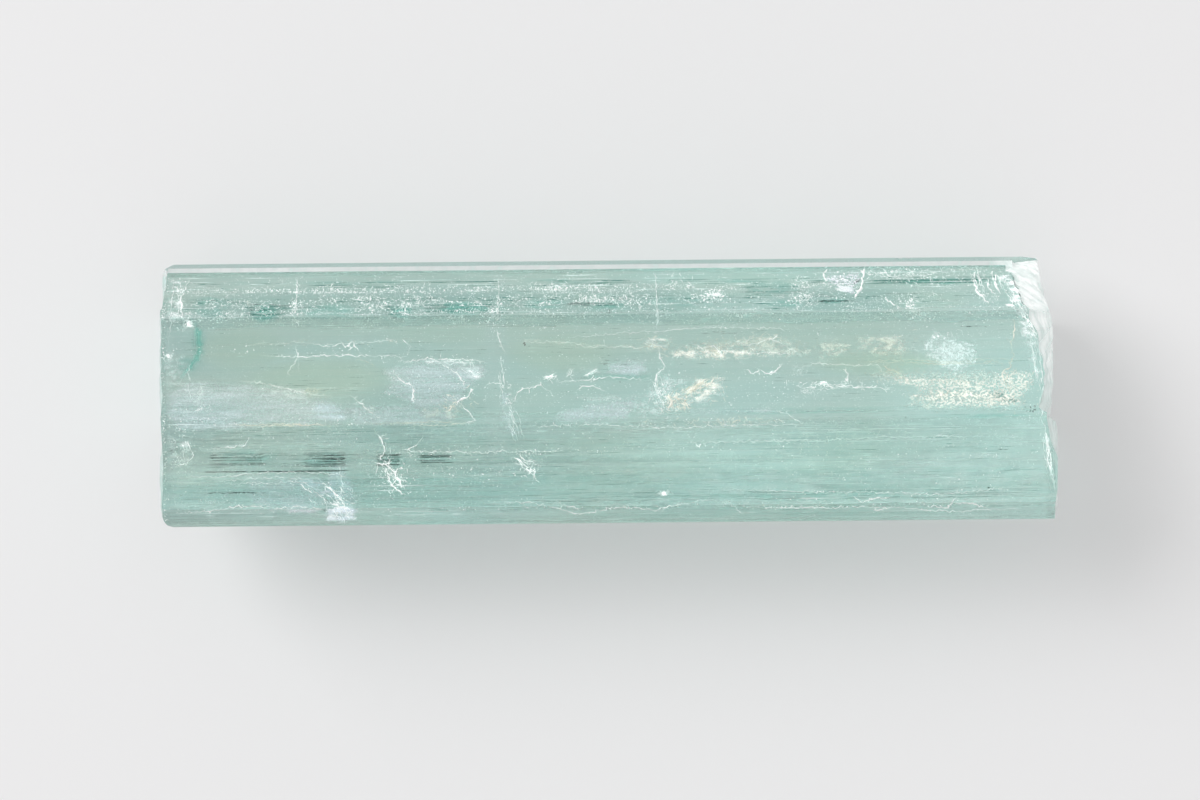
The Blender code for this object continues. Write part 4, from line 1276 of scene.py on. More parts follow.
whiteCracks = {
    "seed": 53, "colour": (0.95, 0.98, 0.97), "glow": 0.24,
    "depth": 0.03, "halfHeight": 0.03, "fineHalfWidth": 0.007, "beadSize": (0.008, 0.032),
    "feathers": [  # start, end, count, spread
        ((-3.4, -0.4), (-3, -1.65), 18, 0.12), ((-3.6, 1.3), (-3.45, -0.2), 8, 0.1),
        ((-3.66, 4), (-3.7, 1.8), 4, 0.05), ((1.62, 4), (1.62, 1.8), 3, 0.03),
        ((-10.4, 4), (-10.38, 2.6), 3, 0.04), ((-9.3, -3), (-8.9, -4.2), 9, 0.22),
        ((-10.4, -2.8), (-9.2, -3.7), 8, 0.18), ((-8.9, -2.4), (-8.75, -3.4), 6, 0.1),
        ((-4.4, 0.95), (-5.6, 1.1), 8, 0.06), ((-4.15, 0.4), (-4.9, 0.85), 10, 0.08),
        ((-7.7, -2.4), (-6.7, -3.3), 12, 0.16), ((-7.4, -1.3), (-7.3, -2.3), 5, 0.1),
        ((-3.1, -2.1), (-2.4, -2.9), 9, 0.14), ((13.3, 3.9), (14.25, 1.6), 10, 0.14),
        ((13.9, 2.2), (14.4, -0.6), 9, 0.08), ((12.3, 3.95), (12.5, 2.9), 8, 0.1),
        ((12.9, 3.9), (13, 3.1), 8, 0.1), ((9, 4), (9.4, 3.7), 16, 0.3), ((10.2, 4), (10.6, 3.75), 12, 0.35),
        ((1.55, 0.3), (1.95, -0.6), 12, 0.14), ((1.35, 1.6), (1.75, 1.4), 12, 0.16),
        ((-2.2, 0.38), (-1.7, 0.64), 8, 0.04), ((-1.42, 0.48), (-1.15, 0.74), 6, 0.03),
        ((-0.9, 0.46), (-0.35, 0.76), 10, 0.05), ((6.4, 0.05), (9.4, 0.05), 6, 0.1),
        ((14.42, -1.2), (14.78, -3.6), 16, 0.05), ((-14.5, 3.8), (-14.3, 2.5), 3, 0.1),
        ((-14.4, -1.4), (-14.1, -2.3), 6, 0.14),
    ],
    "lace": [  # centre, spread, count
        ((11.15, 1.1), (0.42, 0.26), 260), ((-9.2, 3.35), (0.3, 0.16), 60),
        ((-1.95, 0.52), (0.13, 0.07), 24), ((-1.28, 0.62), (0.09, 0.08), 18),
        ((-0.6, 0.63), (0.18, 0.07), 30), ((-7.9, 3.05), (0.45, 0.22), 110), ((-12.5, 3), (0.8, 0.26), 90),
        ((-10.4, 2.8), (0.12, 0.3), 40), ((-6.2, 3.2), (0.6, 0.2), 90), ((-4.6, 2.75), (0.3, 0.16), 50),
        ((-1.9, 3.35), (0.45, 0.14), 90), ((-0.4, 3.1), (0.45, 0.18), 80), ((0.8, 3.1), (0.3, 0.22), 60),
        ((2.4, 3.45), (0.3, 0.2), 40), ((6.45, 3.1), (0.25, 0.3), 60), ((9.8, 3.85), (0.8, 0.14), 80),
        ((11.9, 3.8), (0.8, 0.16), 30), ((-13.6, -0.1), (0.12, 0.28), 50), ((-7.3, -2.7), (0.44, 0.32), 44),
        ((-2.75, -2.45), (0.28, 0.24), 26), ((-8.95, -3.6), (0.3, 0.3), 60), ((1.75, -0.2), (0.2, 0.3), 60),
        ((-3.35, -0.3), (0.14, 0.5), 34), ((6.6, -0.02), (0.3, 0.1), 30), ((7.8, 0.15), (0.6, 0.08), 30),
    ],
    "threads": [  # x and y of each point, half width, side cracks and their reach, own depth
        ((-11.5, 1.25, -9, 1.22, -6.65, 1.2), 0.016, 0, 0, 0.035),
        ((-12.1, 1.62, -10.6, 1.72, -9.4, 1.7, -7.6, 1.75, -6.95, 1.8), 0.012, 2, 0.2, 0.035),
        ((-10.4, 1.55, -10.3, 1.3, -10.5, 0.95, -10.7, 0.72, -10.5, 0.55), 0.016, 2, 0.2, 0.035),
        ((-8.95, 1.8, -8.66, 1.46, -8.43, 1.72, -8.26, 1.35), 0.022, 3, 0.3, 0.035),
        ((-6.85, 1.8, -6.6, 1.55, -6.62, 1.38, -6.72, 1.28), 0.019, 1, 0.2, 0.035),
        ((-7.2, 0.7, -6.85, 0.42, -6.4, 0.16, -6.5, -0.41), 0.025, 2, 0.25, 0.035),
        ((-5.6, 1, -5.35, 0.8, -4.78, 0.28, -4.8, 0.16), 0.025, 1, 0.2, 0.035),
        ((-4.45, 0.14, -4.75, -0.18, -5.15, -0.38), 0.029, 2, 0.2, 0.035),
        ((-4.95, -0.42, -4.65, -0.62, -4.4, -0.98, -4.9, -1.03), 0.026, 1, 0.2, 0.035),
        ((-7, 1.02, -6, 1.06, -4.5, 1, -3.9, 0.92), 0.014, 6, 0.35, 0.035),
        ((-8.6, -0.05, -8.15, -0.38, -7.72, -0.8), 0.032, 4, 0.25, 0.035),
        ((-12.3, 0.42, -11.4, 0.4, -10.7, 0.3, -9.85, 0.05, -9.2, -0.1), 0.02, 2, 0.15, 0.035),
        ((-7.75, -1.28, -7.5, -1.65, -7.42, -1.9, -7.62, -2.15, -7.4, -2.3), 0.029, 4, 0.35),
        ((-7.75, -2.3, -7.35, -2.4, -7.05, -2.8, -6.85, -3.1), 0.024, 7, 0.4),
        ((-7.45, -2.5, -7.25, -3, -6.8, -3.45), 0.02, 2, 0.3),
        ((-6.9, -1.95, -6.4, -1.75, -6.15, -1.45), 0.017, 1, 0.2),
        ((-7.2, -1.95, -5.5, -1.98, -3.8, -1.92, -1.5, -1.98), 0.009, 8, 0.12, 0.035),
        ((-3.25, -2.15, -2.95, -2.3, -2.8, -2.55, -2.45, -2.62, -2.55, -3), 0.023, 6, 0.3),
        ((-3, -2.05, -2.7, -2.35, -2.45, -2.3), 0.02, 2, 0.2),
        ((-10.42, 3.95, -10.4, 2.9), 0.012, 2, 0.2, 0.025), ((-10.35, 1.5, -10.3, 0.7), 0.01, 1, 0.1, 0.1),
        ((-3.63, 3.3, -3.7, 2.5), 0.009, 2, 0.12),
        ((-3.72, 2.1, -3.62, 1.65, -3.45, 1.3), 0.017, 2, 0.25, 0.035),
        ((1.6, 3.95, 1.62, 3.4), 0.01, 0, 0, 0.025),
        ((1.65, 1.4, 1.72, 1, 1.85, 0.72, 1.6, 0.45, 1.5, 0.1), 0.019, 3, 0.25, 0.035),
        ((-2.9, 1.66, -2.2, 1.62, -1.2, 1.6, -0.5, 1.45, -0.2, 1.52, 0.05, 1.42, 0.35, 1.5, 1, 1.44, 1.65,
         1.5), 0.017, 5, 0.2, 0.035),
        ((-1.5, 1.78, 0.4, 1.86, 2.4, 1.95, 6.5, 1.98), 0.009, 3, 0.1, 0.035),
        ((-3.15, -0.3, -3.05, -0.02, -2.8, 0.14, -2.3, 0.16, -1.95, -0.02, -1.85, -0.15), 0.017, 3, 0.2,
         0.035),
        ((-1.1, 0, -0.9, 0.14, -0.4, 0.1, -0.1, -0.02), 0.014, 1, 0.1, 0.035),
        ((-4.1, 0.2, -3.9, 0.3, -3.6, 0.28, -3.45, 0.12), 0.013, 1, 0.1, 0.035),
        ((-2.15, 0.42, -1.75, 0.62), 0.014, 3, 0.2), ((-1.4, 0.5, -1.15, 0.74), 0.012, 2, 0.15),
        ((-0.85, 0.5, -0.35, 0.74), 0.014, 3, 0.2),
        ((-1.7, 0.28, -0.6, 0.4, 0.3, 0.42, 1.3, 0.38), 0.012, 3, 0.15, 0.035),
        ((2.05, 1.3, 2.6, 1.18, 3.4, 1.22, 4.2, 1.28, 4.9, 1.22, 6.5, 1.16), 0.009, 12, 0.3),
        ((2.7, 1.6, 3.1, 1.38, 3.5, 1.42, 3.75, 1.15, 3.72, 0.95), 0.019, 6, 0.3),
        ((4.1, 1.65, 4.6, 1.45, 5.3, 1.6, 6, 1.35, 6.4, 1.2), 0.016, 9, 0.3),
        ((4.4, 0.72, 4.75, 0.52, 5, 0.62, 5.3, 0.48, 5.85, 0.88), 0.016, 3, 0.2),
        ((5.3, 0.5, 5.6, 0.66, 5.8, 0.88), 0.017, 2, 0.2),
        ((6.05, 0.8, 6.4, 0.72, 6.75, 0.86, 8.9, 0.84, 9.1, 0.55, 9.35, 0.3), 0.013, 7, 0.2),
        ((6.35, 0, 6.9, 0.08, 7.15, 0.25, 7.35, 0.1, 8.6, 0.12, 9.4, 0.02), 0.016, 8, 0.2),
        ((7.85, 0.7, 7.9, 0.42, 7.95, 0.22), 0.038, 3, 0.15),
        ((2.6, -1.72, 4.2, -1.76, 5.6, -1.8, 9, -1.72, 13.6, -1.66), 0.009, 6, 0.15, 0.035),
        ((2.85, -1.76, 2.95, -1.92, 3.05, -1.78), 0.014, 0, 0),
        ((2.4, -3.3, 7.5, -3.28, 13.9, -3.24), 0.007, 2, 0.08),
        ((-3.6, -1.15, -0.5, -1.1, 3, -1.18, 8, -1.12), 0.007, 10, 0.12, 0.035),
        ((5.55, -0.72, 6, -0.85, 6.25, -1.02, 6.4, -1.2), 0.012, 2, 0.15, 0.035),
        ((10.55, -4.08, 10.62, -3.92, 11.25, -3.98, 11.5, -3.6), 0.02, 3, 0.12),
        ((11.45, -3.85, 12, -3.86, 12.6, -4.08), 0.017, 1, 0.12),
        ((8.75, -4.08, 9.05, -4, 9.25, -3.98), 0.02, 4, 0.15),
        ((12.35, 3.95, 12.22, 3.55, 12.28, 3.2, 12.62, 2.78), 0.029, 3, 0.2),
        ((12.72, 3.65, 12.7, 3.35, 12.9, 3.08), 0.017, 1, 0.15),
        ((13.02, 3.8, 12.95, 3.4, 13.1, 3.08), 0.032, 2, 0.15),
        ((13.35, 3.1, 13.55, 2.6, 13.95, 2.25, 14.2, 1.6), 0.016, 2, 0.2),
        ((13.5, 2.9, 13.85, 2.45, 14.15, 1.9, 14.3, 1.2, 14.34, 0.2, 14.34, -1.2), 0.016, 0, 0),
        ((-14.5, -2.72, -11.5, -2.7, -8.7, -2.74), 0.009, 0, 0, 0.015),
        ((-13.4, -2.83, -9.8, -2.86), 0.006, 0, 0, 0.015), ((-12.8, -2.96, -9.2, -2.98), 0.006, 0, 0, 0.015),
        ((8.62, 4.1, 8.56, 3.75, 8.42, 3.35, 8.2, 3), 0.045, 3, 0.12, 0.025),
        ((7.4, 4.05, 7.25, 3.85, 7.35, 3.6), 0.02, 2, 0.15, 0.025),
        ((9.2, 3.05, 9.45, 2.8, 9.7, 2.68), 0.014, 1, 0.15),
        ((-14.4, -3.95, -13, -3.78, -12.3, -3.66, -11, -3.72, -9.6, -3.82, -8.9, -3.68), 0.014, 4, 0.12,
         0.025),
        ((-9.3, -3.6, -8.9, -3.78, -8.6, -3.82), 0.02, 1, 0.12, 0.025),
        ((-4, -3.72, -2.6, -3.66, -1.6, -3.86, -1.1, -4, 0.2, -3.76, 1.4, -3.92, 3, -3.62, 4.5, -3.72),
         0.014, 8, 0.15, 0.025),
        ((-2, -3.62, -1.4, -3.8, -0.9, -3.95), 0.014, 1, 0.12, 0.025),
        ((4.5, -3.92, 7, -3.9, 9.6, -3.98, 13.6, -4.05), 0.012, 6, 0.1, 0.025),
        ((3.9, -3.68, 4.15, -3.92, 4.35, -4.1), 0.014, 1, 0.12, 0.025),
        ((8, -3.55, 8.4, -3.75, 8.8, -3.6, 9.3, -3.66), 0.014, 1, 0.12, 0.025),
        ((-14.05, 3.95, -14.22, 3.2, -14.1, 2.45), 0.017, 3, 0.15, 0.025),
        ((-14.55, 3.9, -14.52, 2.6, -14.62, 1.6), 0.009, 2, 0.15, 0.025),
        ((-13.86, 1.05, -13.95, 0.7, -13.85, 0.42), 0.017, 1, 0.15),
        ((-14.6, 0.36, -14, 0.36, -13.92, -0.35), 0.012, 0, 0),
        ((-14, -1.55, -13.75, -2.05, -14, -2.35, -14.45, -2.3), 0.017, 4, 0.15),
        ((-11.9, -1.45, -12.1, -1.66, -13.2, -1.8), 0.014, 1, 0.15),
        ((-12.8, -2.06, -12.2, -2.02, -11.2, -2), 0.012, 2, 0.12),
        ((-9.5, -3.05, -9.1, -3.35, -8.85, -3.62), 0.023, 4, 0.2),
        ((-10.3, -3, -9.85, -3.3), 0.017, 2, 0.15),
    ],
}

creamCracks = {
    "seed": 59, "colour": (0.89, 0.9, 0.81), "glow": 0.13,
    "depth": 0.03, "halfHeight": 0.03, "fineHalfWidth": 0.007, "beadSize": (0.006, 0.026),
    "feathers": [
        ((2.4, -0.2), (3.3, 0.42), 10, 0.06), ((9, 0.7), (10, 0.25), 9, 0.1),
        ((3, 1.55), (3.8, 1.2), 6, 0.16), ((9, 1.62), (9.7, 1.15), 6, 0.1),
        ((-12.4, -1.03), (-9.3, -1.05), 3, 0.02), ((-8.1, -1), (-4.5, -1.02), 4, 0.02),
        ((8, 0.86), (14, 0.82), 8, 0.03),
    ],
    "lace": [
        ((4.9, 1.48), (0.6, 0.15), 260), ((3.45, 1.36), (0.36, 0.15), 150), ((6.2, 1.35), (0.3, 0.13), 60),
        ((2.4, 1.2), (0.4, 0.06), 40), ((1.35, 1.52), (0.26, 0.1), 60), ((9.25, 1.32), (0.42, 0.18), 150),
        ((7.5, 1.35), (0.36, 0.16), 40), ((11, -0.32), (0.6, 0.16), 170), ((12.6, -0.38), (0.6, 0.16), 170),
        ((10.2, 0.36), (0.5, 0.15), 110), ((11.7, 0.22), (0.6, 0.16), 140), ((13.2, 0.3), (0.5, 0.16), 60),
        ((9.3, 0.52), (0.3, 0.12), 50), ((2.2, -0.4), (0.26, 0.17), 110), ((3.3, 0.05), (0.36, 0.2), 60),
        ((4, -1.05), (1.1, 0.05), 60), ((-5.2, -0.45), (0.3, 0.16), 60), ((-9.9, 0.06), (0.2, 0.05), 40),
    ],
    "threads": [
        ((-12.6, -1.02, -11, -1.04, -9.35, -1.04, -9.45, -0.92), 0.013, 2, 0.1, 0.035),
        ((-8.2, -1, -6.6, -1.02, -5.4, -1.02, -4.4, -0.98), 0.014, 3, 0.1, 0.035),
        ((13.42, 2.3, 13.5, 2, 13.4, 1.6, 13.3, 1.3, 13.4, 0.95, 13.28, 0.6, 13.02, 0.36, 13.1, 0.12, 13.35,
         -0.15), 0.026, 9, 0.22, 0.035),
        ((2.5, -0.18, 2.85, 0.12, 3.3, 0.4), 0.025, 1, 0.15),
        ((2.95, -0.05, 3.25, 0.22, 3.5, 0.42), 0.022, 1, 0.15), ((2.7, 0.02, 3.05, 0.3), 0.017, 1, 0.15),
        ((1.98, -0.1, 2.05, -0.4, 1.95, -0.66), 0.035, 5, 0.2),
        ((2.05, -0.22, 2.45, -0.3, 2.65, -0.62), 0.022, 4, 0.2),
        ((1.1, 1.42, 1.45, 1.55, 1.7, 1.42, 2, 1.34), 0.029, 5, 0.2),
        ((9, 0.78, 9.5, 0.55, 9.95, 0.18), 0.017, 3, 0.2),
        ((10.9, -0.35, 11.2, -0.2, 11.35, -0.08), 0.023, 0, 0),
        ((-8.4, 1.15, -7.95, 1.05, -7.7, 0.8), 0.013, 1, 0.15, 0.035),
        ((-5.5, -0.42, -5.4, -0.55, -5.2, -0.5, -5.25, -0.38), 0.026, 2, 0.12, 0.035),
    ],
}


def makeCracks(name, plan):
    # feathers and lace of fine threads, then each main crack with its beads and its side cracks
    random = np.random.default_rng(plan["seed"])
    usualDepth, halfHeight, fine = plan["depth"], plan["halfHeight"], plan["fineHalfWidth"]
    parts = [thread(random, line, usualDepth, fine, halfHeight)
             for bunch in plan["feathers"] for line in feather(random, *bunch)]
    parts += [thread(random, line, usualDepth, fine, fine)
              for patch in plan["lace"] for line in lace(random, *patch)]
    for route, halfWidth, sideCount, sideReach, *own in plan["threads"]:
        depth = own[0] if own else usualDepth
        main = jagged(random, np.reshape(route, (-1, 2)))
        parts.append(thread(random, main, depth, halfWidth, halfHeight))
        parts.append(beads(random, main, depth, plan["beadSize"]))
        parts += [thread(random, side, depth, halfWidth * crackShape["sideWidth"], halfHeight)
                  for side in branches(random, main, sideCount, sideReach)]
    inside(name, plan, parts)


# veils of tiny bubbles and pale stains
veils = {
    "seed": 67,
    "rings": 9,
    "spokes": 72,
    "ragged": 0.06,
    "rim": 0.24,                 # width over which a sheet comes in from its rim
    "thick": 0.004 * mm,
    # painted glow of the sheets, so that they show pale inside the crystal
    "glow": 0.25,
    "colours": {"lavender": (0.86, 0.87, 0.93), "milk": (0.93, 0.98, 0.98), "cream": (0.93, 0.945, 0.87),
                "blue": (0.84, 0.92, 0.99), "teal": (0.16, 0.58, 0.50)},
    # the noise that breaks up each pattern: scale, detail, roughness
    "clouds": {"streaks": ((0.7, 6, 6), 4.0, 0.72), "blotches": ((2.4, 4.6, 4.6), 5.0, 0.72),
               "wash": ((2.0, 5, 5), 3.0, 0.6), "specks": ((1.6, 2.2, 2.2), 3.0, 0.6)},
    # x and y of each point of the outline, depth, colour, cover and pattern
    "sheets": [
        ((-13.78, 2.35, -13.5, 2.3, -13.4, 1.7, -13.52, 1.1, -13.9, 0.78, -14.15, 0.45, -14.3, 0.55, -13.98,
         1, -13.72, 1.45), 0.05, "teal", 1.5, "wash"),
        ((-11.85, 2.78, -11.6, 2.95, -11, 2.88, -10.8, 2.68, -11.2, 2.45, -11.5, 2.42), 0.08, "teal", 0.8,
         "wash"),
        ((-7.3, 2.75, -6.9, 2.92, -6.5, 2.8, -6.6, 2.62, -7.1, 2.6), 0.08, "teal", 0.8, "wash"),
        ((-5.95, 2.78, -5.4, 3, -4, 2.92, -3.95, 2.7, -5.2, 2.62, -5.8, 2.64), 0.08, "teal", 0.7, "wash"),
        ((-14.05, 0.4, -13.35, 0.5, -12.4, 0.48, -10.9, 0.32, -10.1, 0.18, -9.45, -0.15, -8.7, -0.55, -8.1,
         -0.85, -8.8, -0.95, -9.9, -1.05, -10.2, -1.2, -11.7, -1.15, -13.2, -1.3, -14.7, -1.2, -14.8, -0.7,
         -14.7, 0.1), 0.06, "lavender", 0.5, "streaks"),
        ((-12.6, 0.45, -10.9, 0.3, -9.4, -0.15, -10.5, -0.3, -12, 0.1), 0.03, "milk", 0.45, "blotches"),
        ((-9.8, 0.05, -9, -0.25, -8.3, -0.75, -8.9, -1, -9.9, -0.9), 0.04, "blue", 0.45, "streaks"),
        ((-7.75, 0.85, -5.85, 1.2, -5.05, 1.15, -3.95, 1, -4.15, 0.5, -4.5, 0.2, -4.8, -0.35, -5.3, -1.05,
         -6.4, -0.55, -7.3, -0.1, -7.4, 0.4), 0.06, "lavender", 0.5, "streaks"),
        ((-7.4, 1.05, -5.5, 1.25, -3.95, 1.05, -4.2, 0.6, -5, 0.75, -6.2, 0.85), 0.03, "milk", 0.6,
         "blotches"),
        ((-5.2, 0.9, -4.1, 0.95, -4.2, 0.3, -4.7, 0.45), 0.02, "milk", 0.55, "streaks"),
        ((-8.9, -0.25, -6.5, -0.35, -4.6, -0.95, -6.5, -1.15, -8.6, -1.15), 0.08, "lavender", 0.45,
         "streaks"),
        ((-6.4, -0.35, -4.9, -0.35, -4.45, -0.95, -6.2, -1.05), 0.03, "cream", 0.5, "blotches"),
        ((-0.1, 1.05, 1.3, 1.05, 1.35, 0.62, 1.05, 0.4, -0.15, 0.52), 0.05, "lavender", 0.7, "streaks"),
        ((-2, -1.05, -1.7, -0.6, -0.85, -0.4, 0, -0.3, 0.8, -0.15, 1, -0.55, 0.7, -1, -0.4, -1.15), 0.06,
         "lavender", 0.62, "streaks"),
        ((-1.5, -0.15, 0.4, 0, 0.6, -0.4, -0.6, -0.45), 0.06, "milk", 0.4, "streaks"),
        ((2.4, -0.6, 5.4, -0.6, 5.9, -0.85, 2.5, -0.9), 0.04, "lavender", 0.55, "streaks"),
        ((2.2, -1, 5.5, -0.95, 6.5, -1.15, 2.5, -1.25), 0.03, "cream", 0.4, "blotches"),
        ((-3.7, 0.6, -3.2, 0.2, -2.9, -0.95, -2.85, -1.7, -3.3, -1.7, -3.7, -0.95), 0.05, "blue", 0.36,
         "blotches"),
        ((-9.4, -2.55, -8.75, -2.2, -8.45, -3, -8.35, -3.9, -8.35, -4.36, -9.55, -4.36, -9.45, -3.5), 0.04,
         "blue", 0.6, "streaks"),
        ((-9.5, -3.5, -8.35, -3.5, -8.35, -4.36, -9.55, -4.36), 0.03, "milk", 0.5, "blotches"),
        ((-10.9, -2.65, -9.6, -2.6, -8.6, -3.2, -9.2, -3.7, -10.3, -3.1), 0.03, "blue", 0.45, "blotches"),
        ((-12, -2.65, -10.1, -2.6, -9.3, -2.9, -9.3, -3.8, -10.15, -4.1, -11.25, -4, -12.2, -3.5), 0.06,
         "lavender", 0.4, "streaks"),
        ((1.1, 1.65, 1.75, 1.9, 2.65, 1.55, 3.35, 1.8, 3.85, 1.65, 4.95, 1.9, 5.65, 1.75, 6.8, 1.5, 6.65,
         0.95, 5.55, 0.95, 3.65, 0.85, 2.25, 0.95), 0.02, "cream", 0.52, "blotches"),
        ((2.2, 1.35, 4, 1.55, 6.6, 1.45, 6.3, 1.1, 4, 1.05, 2.4, 1.1), 0.03, "cream", 0.42, "specks"),
        ((-2.9, 1.85, -1, 1.8, 0, 1.6, 1.9, 1.7, 1.9, 1.35, 0, 1.35, -2.7, 1.5), 0.03, "cream", 0.45,
         "blotches"),
        ((1, 1.75, 1.9, 1.75, 2.1, 1.3, 1.2, 1.25), 0.02, "milk", 0.75, "blotches"),
        ((6.8, 1.75, 8.1, 1.65, 8, 0.95, 6.9, 0.9), 0.03, "cream", 0.7, "blotches"),
        ((8, 1.85, 9.8, 1.8, 10.05, 1.45, 9.7, 0.9, 9, 0.9, 8.2, 1.25), 0.02, "cream", 0.8, "blotches"),
        ((10.5, 1.1, 10.2, 1.45, 10.9, 1.85, 12.1, 1.65, 12.4, 0.95, 11.85, 0.4, 10.9, 0.45), 0.02, "milk",
         0.95, "specks"),
        ((10.7, 1.5, 11.9, 1.5, 11.9, 0.7, 10.9, 0.6), 0.03, "milk", 0.5, "blotches"),
        ((8.5, 0.7, 9.55, 0.7, 10.3, 0.55, 12.2, 0.7, 14.1, 0.6, 14.15, -0.45, 12.2, -0.5, 10.9, -0.48, 9.65,
         -0.1, 8.85, 0.25), 0.02, "cream", 0.44, "specks"),
        ((9.75, -0.45, 10, -0.1, 11.2, 0.02, 12.6, -0.03, 13.5, -0.17, 14.1, -0.55, 13.8, -0.77, 11.7, -0.8,
         10.4, -0.84, 9.8, -0.68), 0.02, "cream", 0.66, "specks"),
        ((10, -0.5, 10.3, -0.1, 12.8, -0.12, 13.6, -0.45, 12.2, -0.7), 0.04, "cream", 0.14, "streaks"),
        ((0.4, -0.55, 1.2, 0.15, 1.65, 0.7, 2.8, 0.45, 3.95, 0.35, 3.9, -0.4, 2.65, -0.7, 1.1, -1.1), 0.05,
         "milk", 0.5, "blotches"),
        ((2.2, -0.1, 3, 0.55, 3.9, 0.5, 3.85, -0.1, 2.8, -0.6), 0.02, "cream", 0.55, "blotches"),
        ((7.15, 3.85, 7.7, 4.05, 8.45, 4.02, 8.55, 3.65, 8.4, 3.15, 8.1, 2.98, 7.6, 3.2, 7.2, 3.5), 0.02,
         "lavender", 0.6, "specks"),
        ((13, 3.9, 13.55, 4.05, 14.3, 1.9, 14.4, 0, 13.95, 0.3, 13.5, 2.2), 0.03, "milk", 0.7, "blotches"),
        ((-14.85, 1.6, -14, 1.5, -13.9, 0.3, -14.8, 0), 0.05, "milk", 0.4, "blotches"),
        ((-14.8, 4, -14.1, 4, -13.9, 2.3, -14.8, 2.2), 0.04, "milk", 0.35, "blotches"),
        ((-14.8, -1.2, -13.8, -1.3, -13.7, -2.4, -14.7, -2.6), 0.04, "milk", 0.4, "blotches"),
    ],
}


def distanceToRim(spots, rim):
    # from each spot on the plan to the nearest stretch of a closed rim
    start, way = rim, np.roll(rim, -1, axis=0) - rim
    fromStart = spots[:, None] - start
    share = np.clip((fromStart * way).sum(-1) / (way ** 2).sum(-1), 0, 1)
    return np.linalg.norm(fromStart - share[..., None] * way, axis=-1).min(1)


def veilSheet(random, outline, depth):
    # a thin lens under the surface: its rim follows the outline, a little ragged; radius r goes from the
    # middle over the upper side to the rim, and back underneath
    rings, spokes = veils["rings"], veils["spokes"]
    corners = np.reshape(outline + outline[:2], (-1, 2))
    reach = np.concatenate([[0], np.cumsum(np.linalg.norm(np.diff(corners, axis=0), axis=1))])
    stops = np.linspace(0, reach[-1], spokes, endpoint=False)
    rim = np.stack([np.interp(stops, reach, corners[:, axis]) for axis in (0, 1)], -1)
    if np.cross(rim, np.roll(rim, -1, axis=0)).sum() < 0:
        rim = rim[::-1]
    middle = rim.mean(0)
    angle = stops / reach[-1] * 2 * math.pi
    circle = np.stack([np.cos(angle), np.sin(angle)], -1)
    stray = 1 + veils["ragged"] * waves(circle, 0.5, random.integers(9999), 8)
    rim = middle + (rim - middle) * stray[:, None]
    r = np.arange(1, rings + 1) / rings
    r = np.concatenate([r, r[-2::-1]])
    above = np.concatenate([np.ones(rings), -np.ones(rings - 1)])
    plan = (middle + r[:, None, None] * (rim - middle)) * mm
    level = roof(plan[..., 1]) - depth * mm
    z = level + (above * veils["thick"] * np.sqrt(1 - r ** 2 * 0.999))[:, None]
    points = np.concatenate([plan, z[..., None]], -1).reshape(-1, 3)
    heart = [(*(middle * mm), z[0].mean()), (*(middle * mm), z[-1].mean())]
    points = np.concatenate([points, heart])
    fade = np.clip(distanceToRim(points[:, :2] / mm, rim) / veils["rim"], 0, 1)
    return points, ringFaces(len(r), spokes), fade


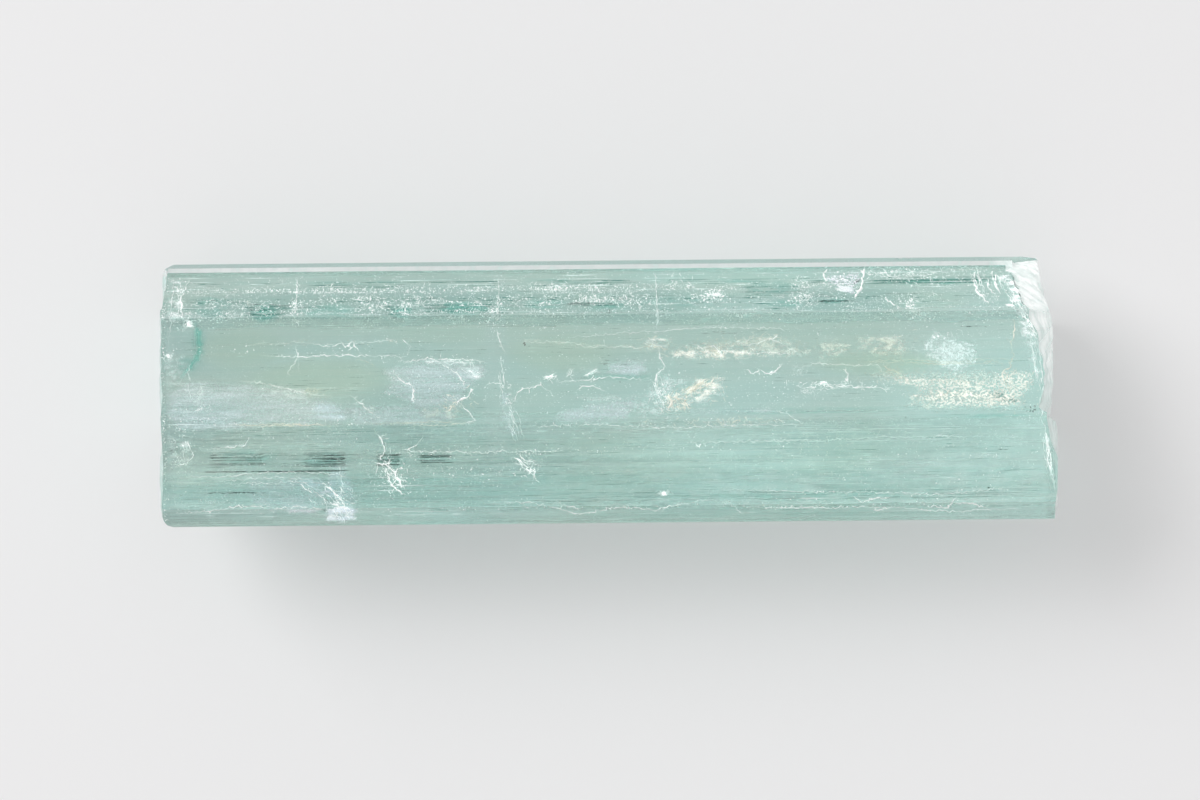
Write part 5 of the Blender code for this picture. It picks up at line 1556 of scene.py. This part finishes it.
def veilMaterial(name, colour, cover, pattern):
    # cover thins out towards a ragged rim; inside it is broken up as streaks along x with specks, as
    # blotches, as a wash of colour, or as specks alone
    bench = Bench(name)
    soft = bench.attribute("fade")
    specks = bench.noise((14, 18, 18), detail=1.0)
    cloud = bench.noise(*veils["clouds"][pattern])
    if pattern == "blotches":
        share = (cloud + soft * 0.10).rise(0.53, 0.70) * (specks.rise(0.3, 0.6) * 0.5 + 0.5)
    elif pattern == "wash":
        share = cloud.rise(0.25, 0.50)
    elif pattern == "specks":
        share = (cloud + soft * 0.3).rise(0.50, 0.80) * (specks.rise(0.48, 0.58) * 0.95 + 0.05)
    else:
        share = cloud.rise(0.34, 0.62) * 0.6 + specks.rise(0.48, 0.62) * 0.5 + 0.1
    shade = bench.blend(cloud.rise(0.3, 0.7), tuple(0.92 * channel for channel in colour), colour)
    share = soft.rise(0.0, 1.0) * share * cover
    # the sheet also glows: painted glow, as the veils' glow says
    return bench.finish({"Base Color": shade, "Roughness": 0.5, "Alpha": share.clamped(),
                         "Emission Color": shade, "Emission Strength": veils["glow"]})


def makeVeils():
    # a piece and a material for each sheet, with its fade towards the rim kept at its points
    random = np.random.default_rng(veils["seed"])
    for number, (outline, depth, colour, cover, pattern) in enumerate(veils["sheets"]):
        name = f"veil{number + 1:02d}"
        points, faces, fade = veilSheet(random, outline, depth)
        points = keepInside(points)
        material = veilMaterial(name, veils["colours"][colour], cover, pattern)
        belongs(makePiece(name, points, faces, [material], marks={"fade": fade}))
    print("veils:", len(veils["sheets"]))


def makeTable():
    half = studio["tableSize"] / 2
    bench = Bench("table")
    paper = bench.finish({"Base Color": (*studio["tableColour"], 1), "Roughness": studio["tableRoughness"],
                          "Emission Color": (1, 1, 1, 1), "Emission Strength": studio["tableGlow"]})
    corners = np.array([(-half, -half), (half, -half), (half, half), (-half, half)])
    points = np.column_stack([corners, np.full(4, -studio["tableGap"])])
    makePiece("table", points, [np.array([[0, 1, 2, 3]])], [paper], smooth=False)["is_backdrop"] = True


makeCamera()
makeLights()
makeTable()
print("camera, light and table ready")
makeCrystal()
makeNeedles("paleNeedles", paleNeedles)
makeNeedles("darkNeedles", darkNeedles)
makeNeedles("blackNeedles", blackNeedles)
makeCrumbs("whiteCrumbs", whiteCrumbs)
makeCrumbs("creamCrumbs", creamCrumbs)
makeDust("dust", dust)
makeCrumbs("darkCrumbs", darkCrumbs)
makeCracks("whiteCracks", whiteCracks)
makeCracks("creamCracks", creamCracks)
makeVeils()
bpy.context.scene.view_settings.view_transform = "Standard"

boxes = {"cad": cadBox, "visual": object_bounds()}
{key: [list(corner) for corner in box] for key, box in boxes.items()}
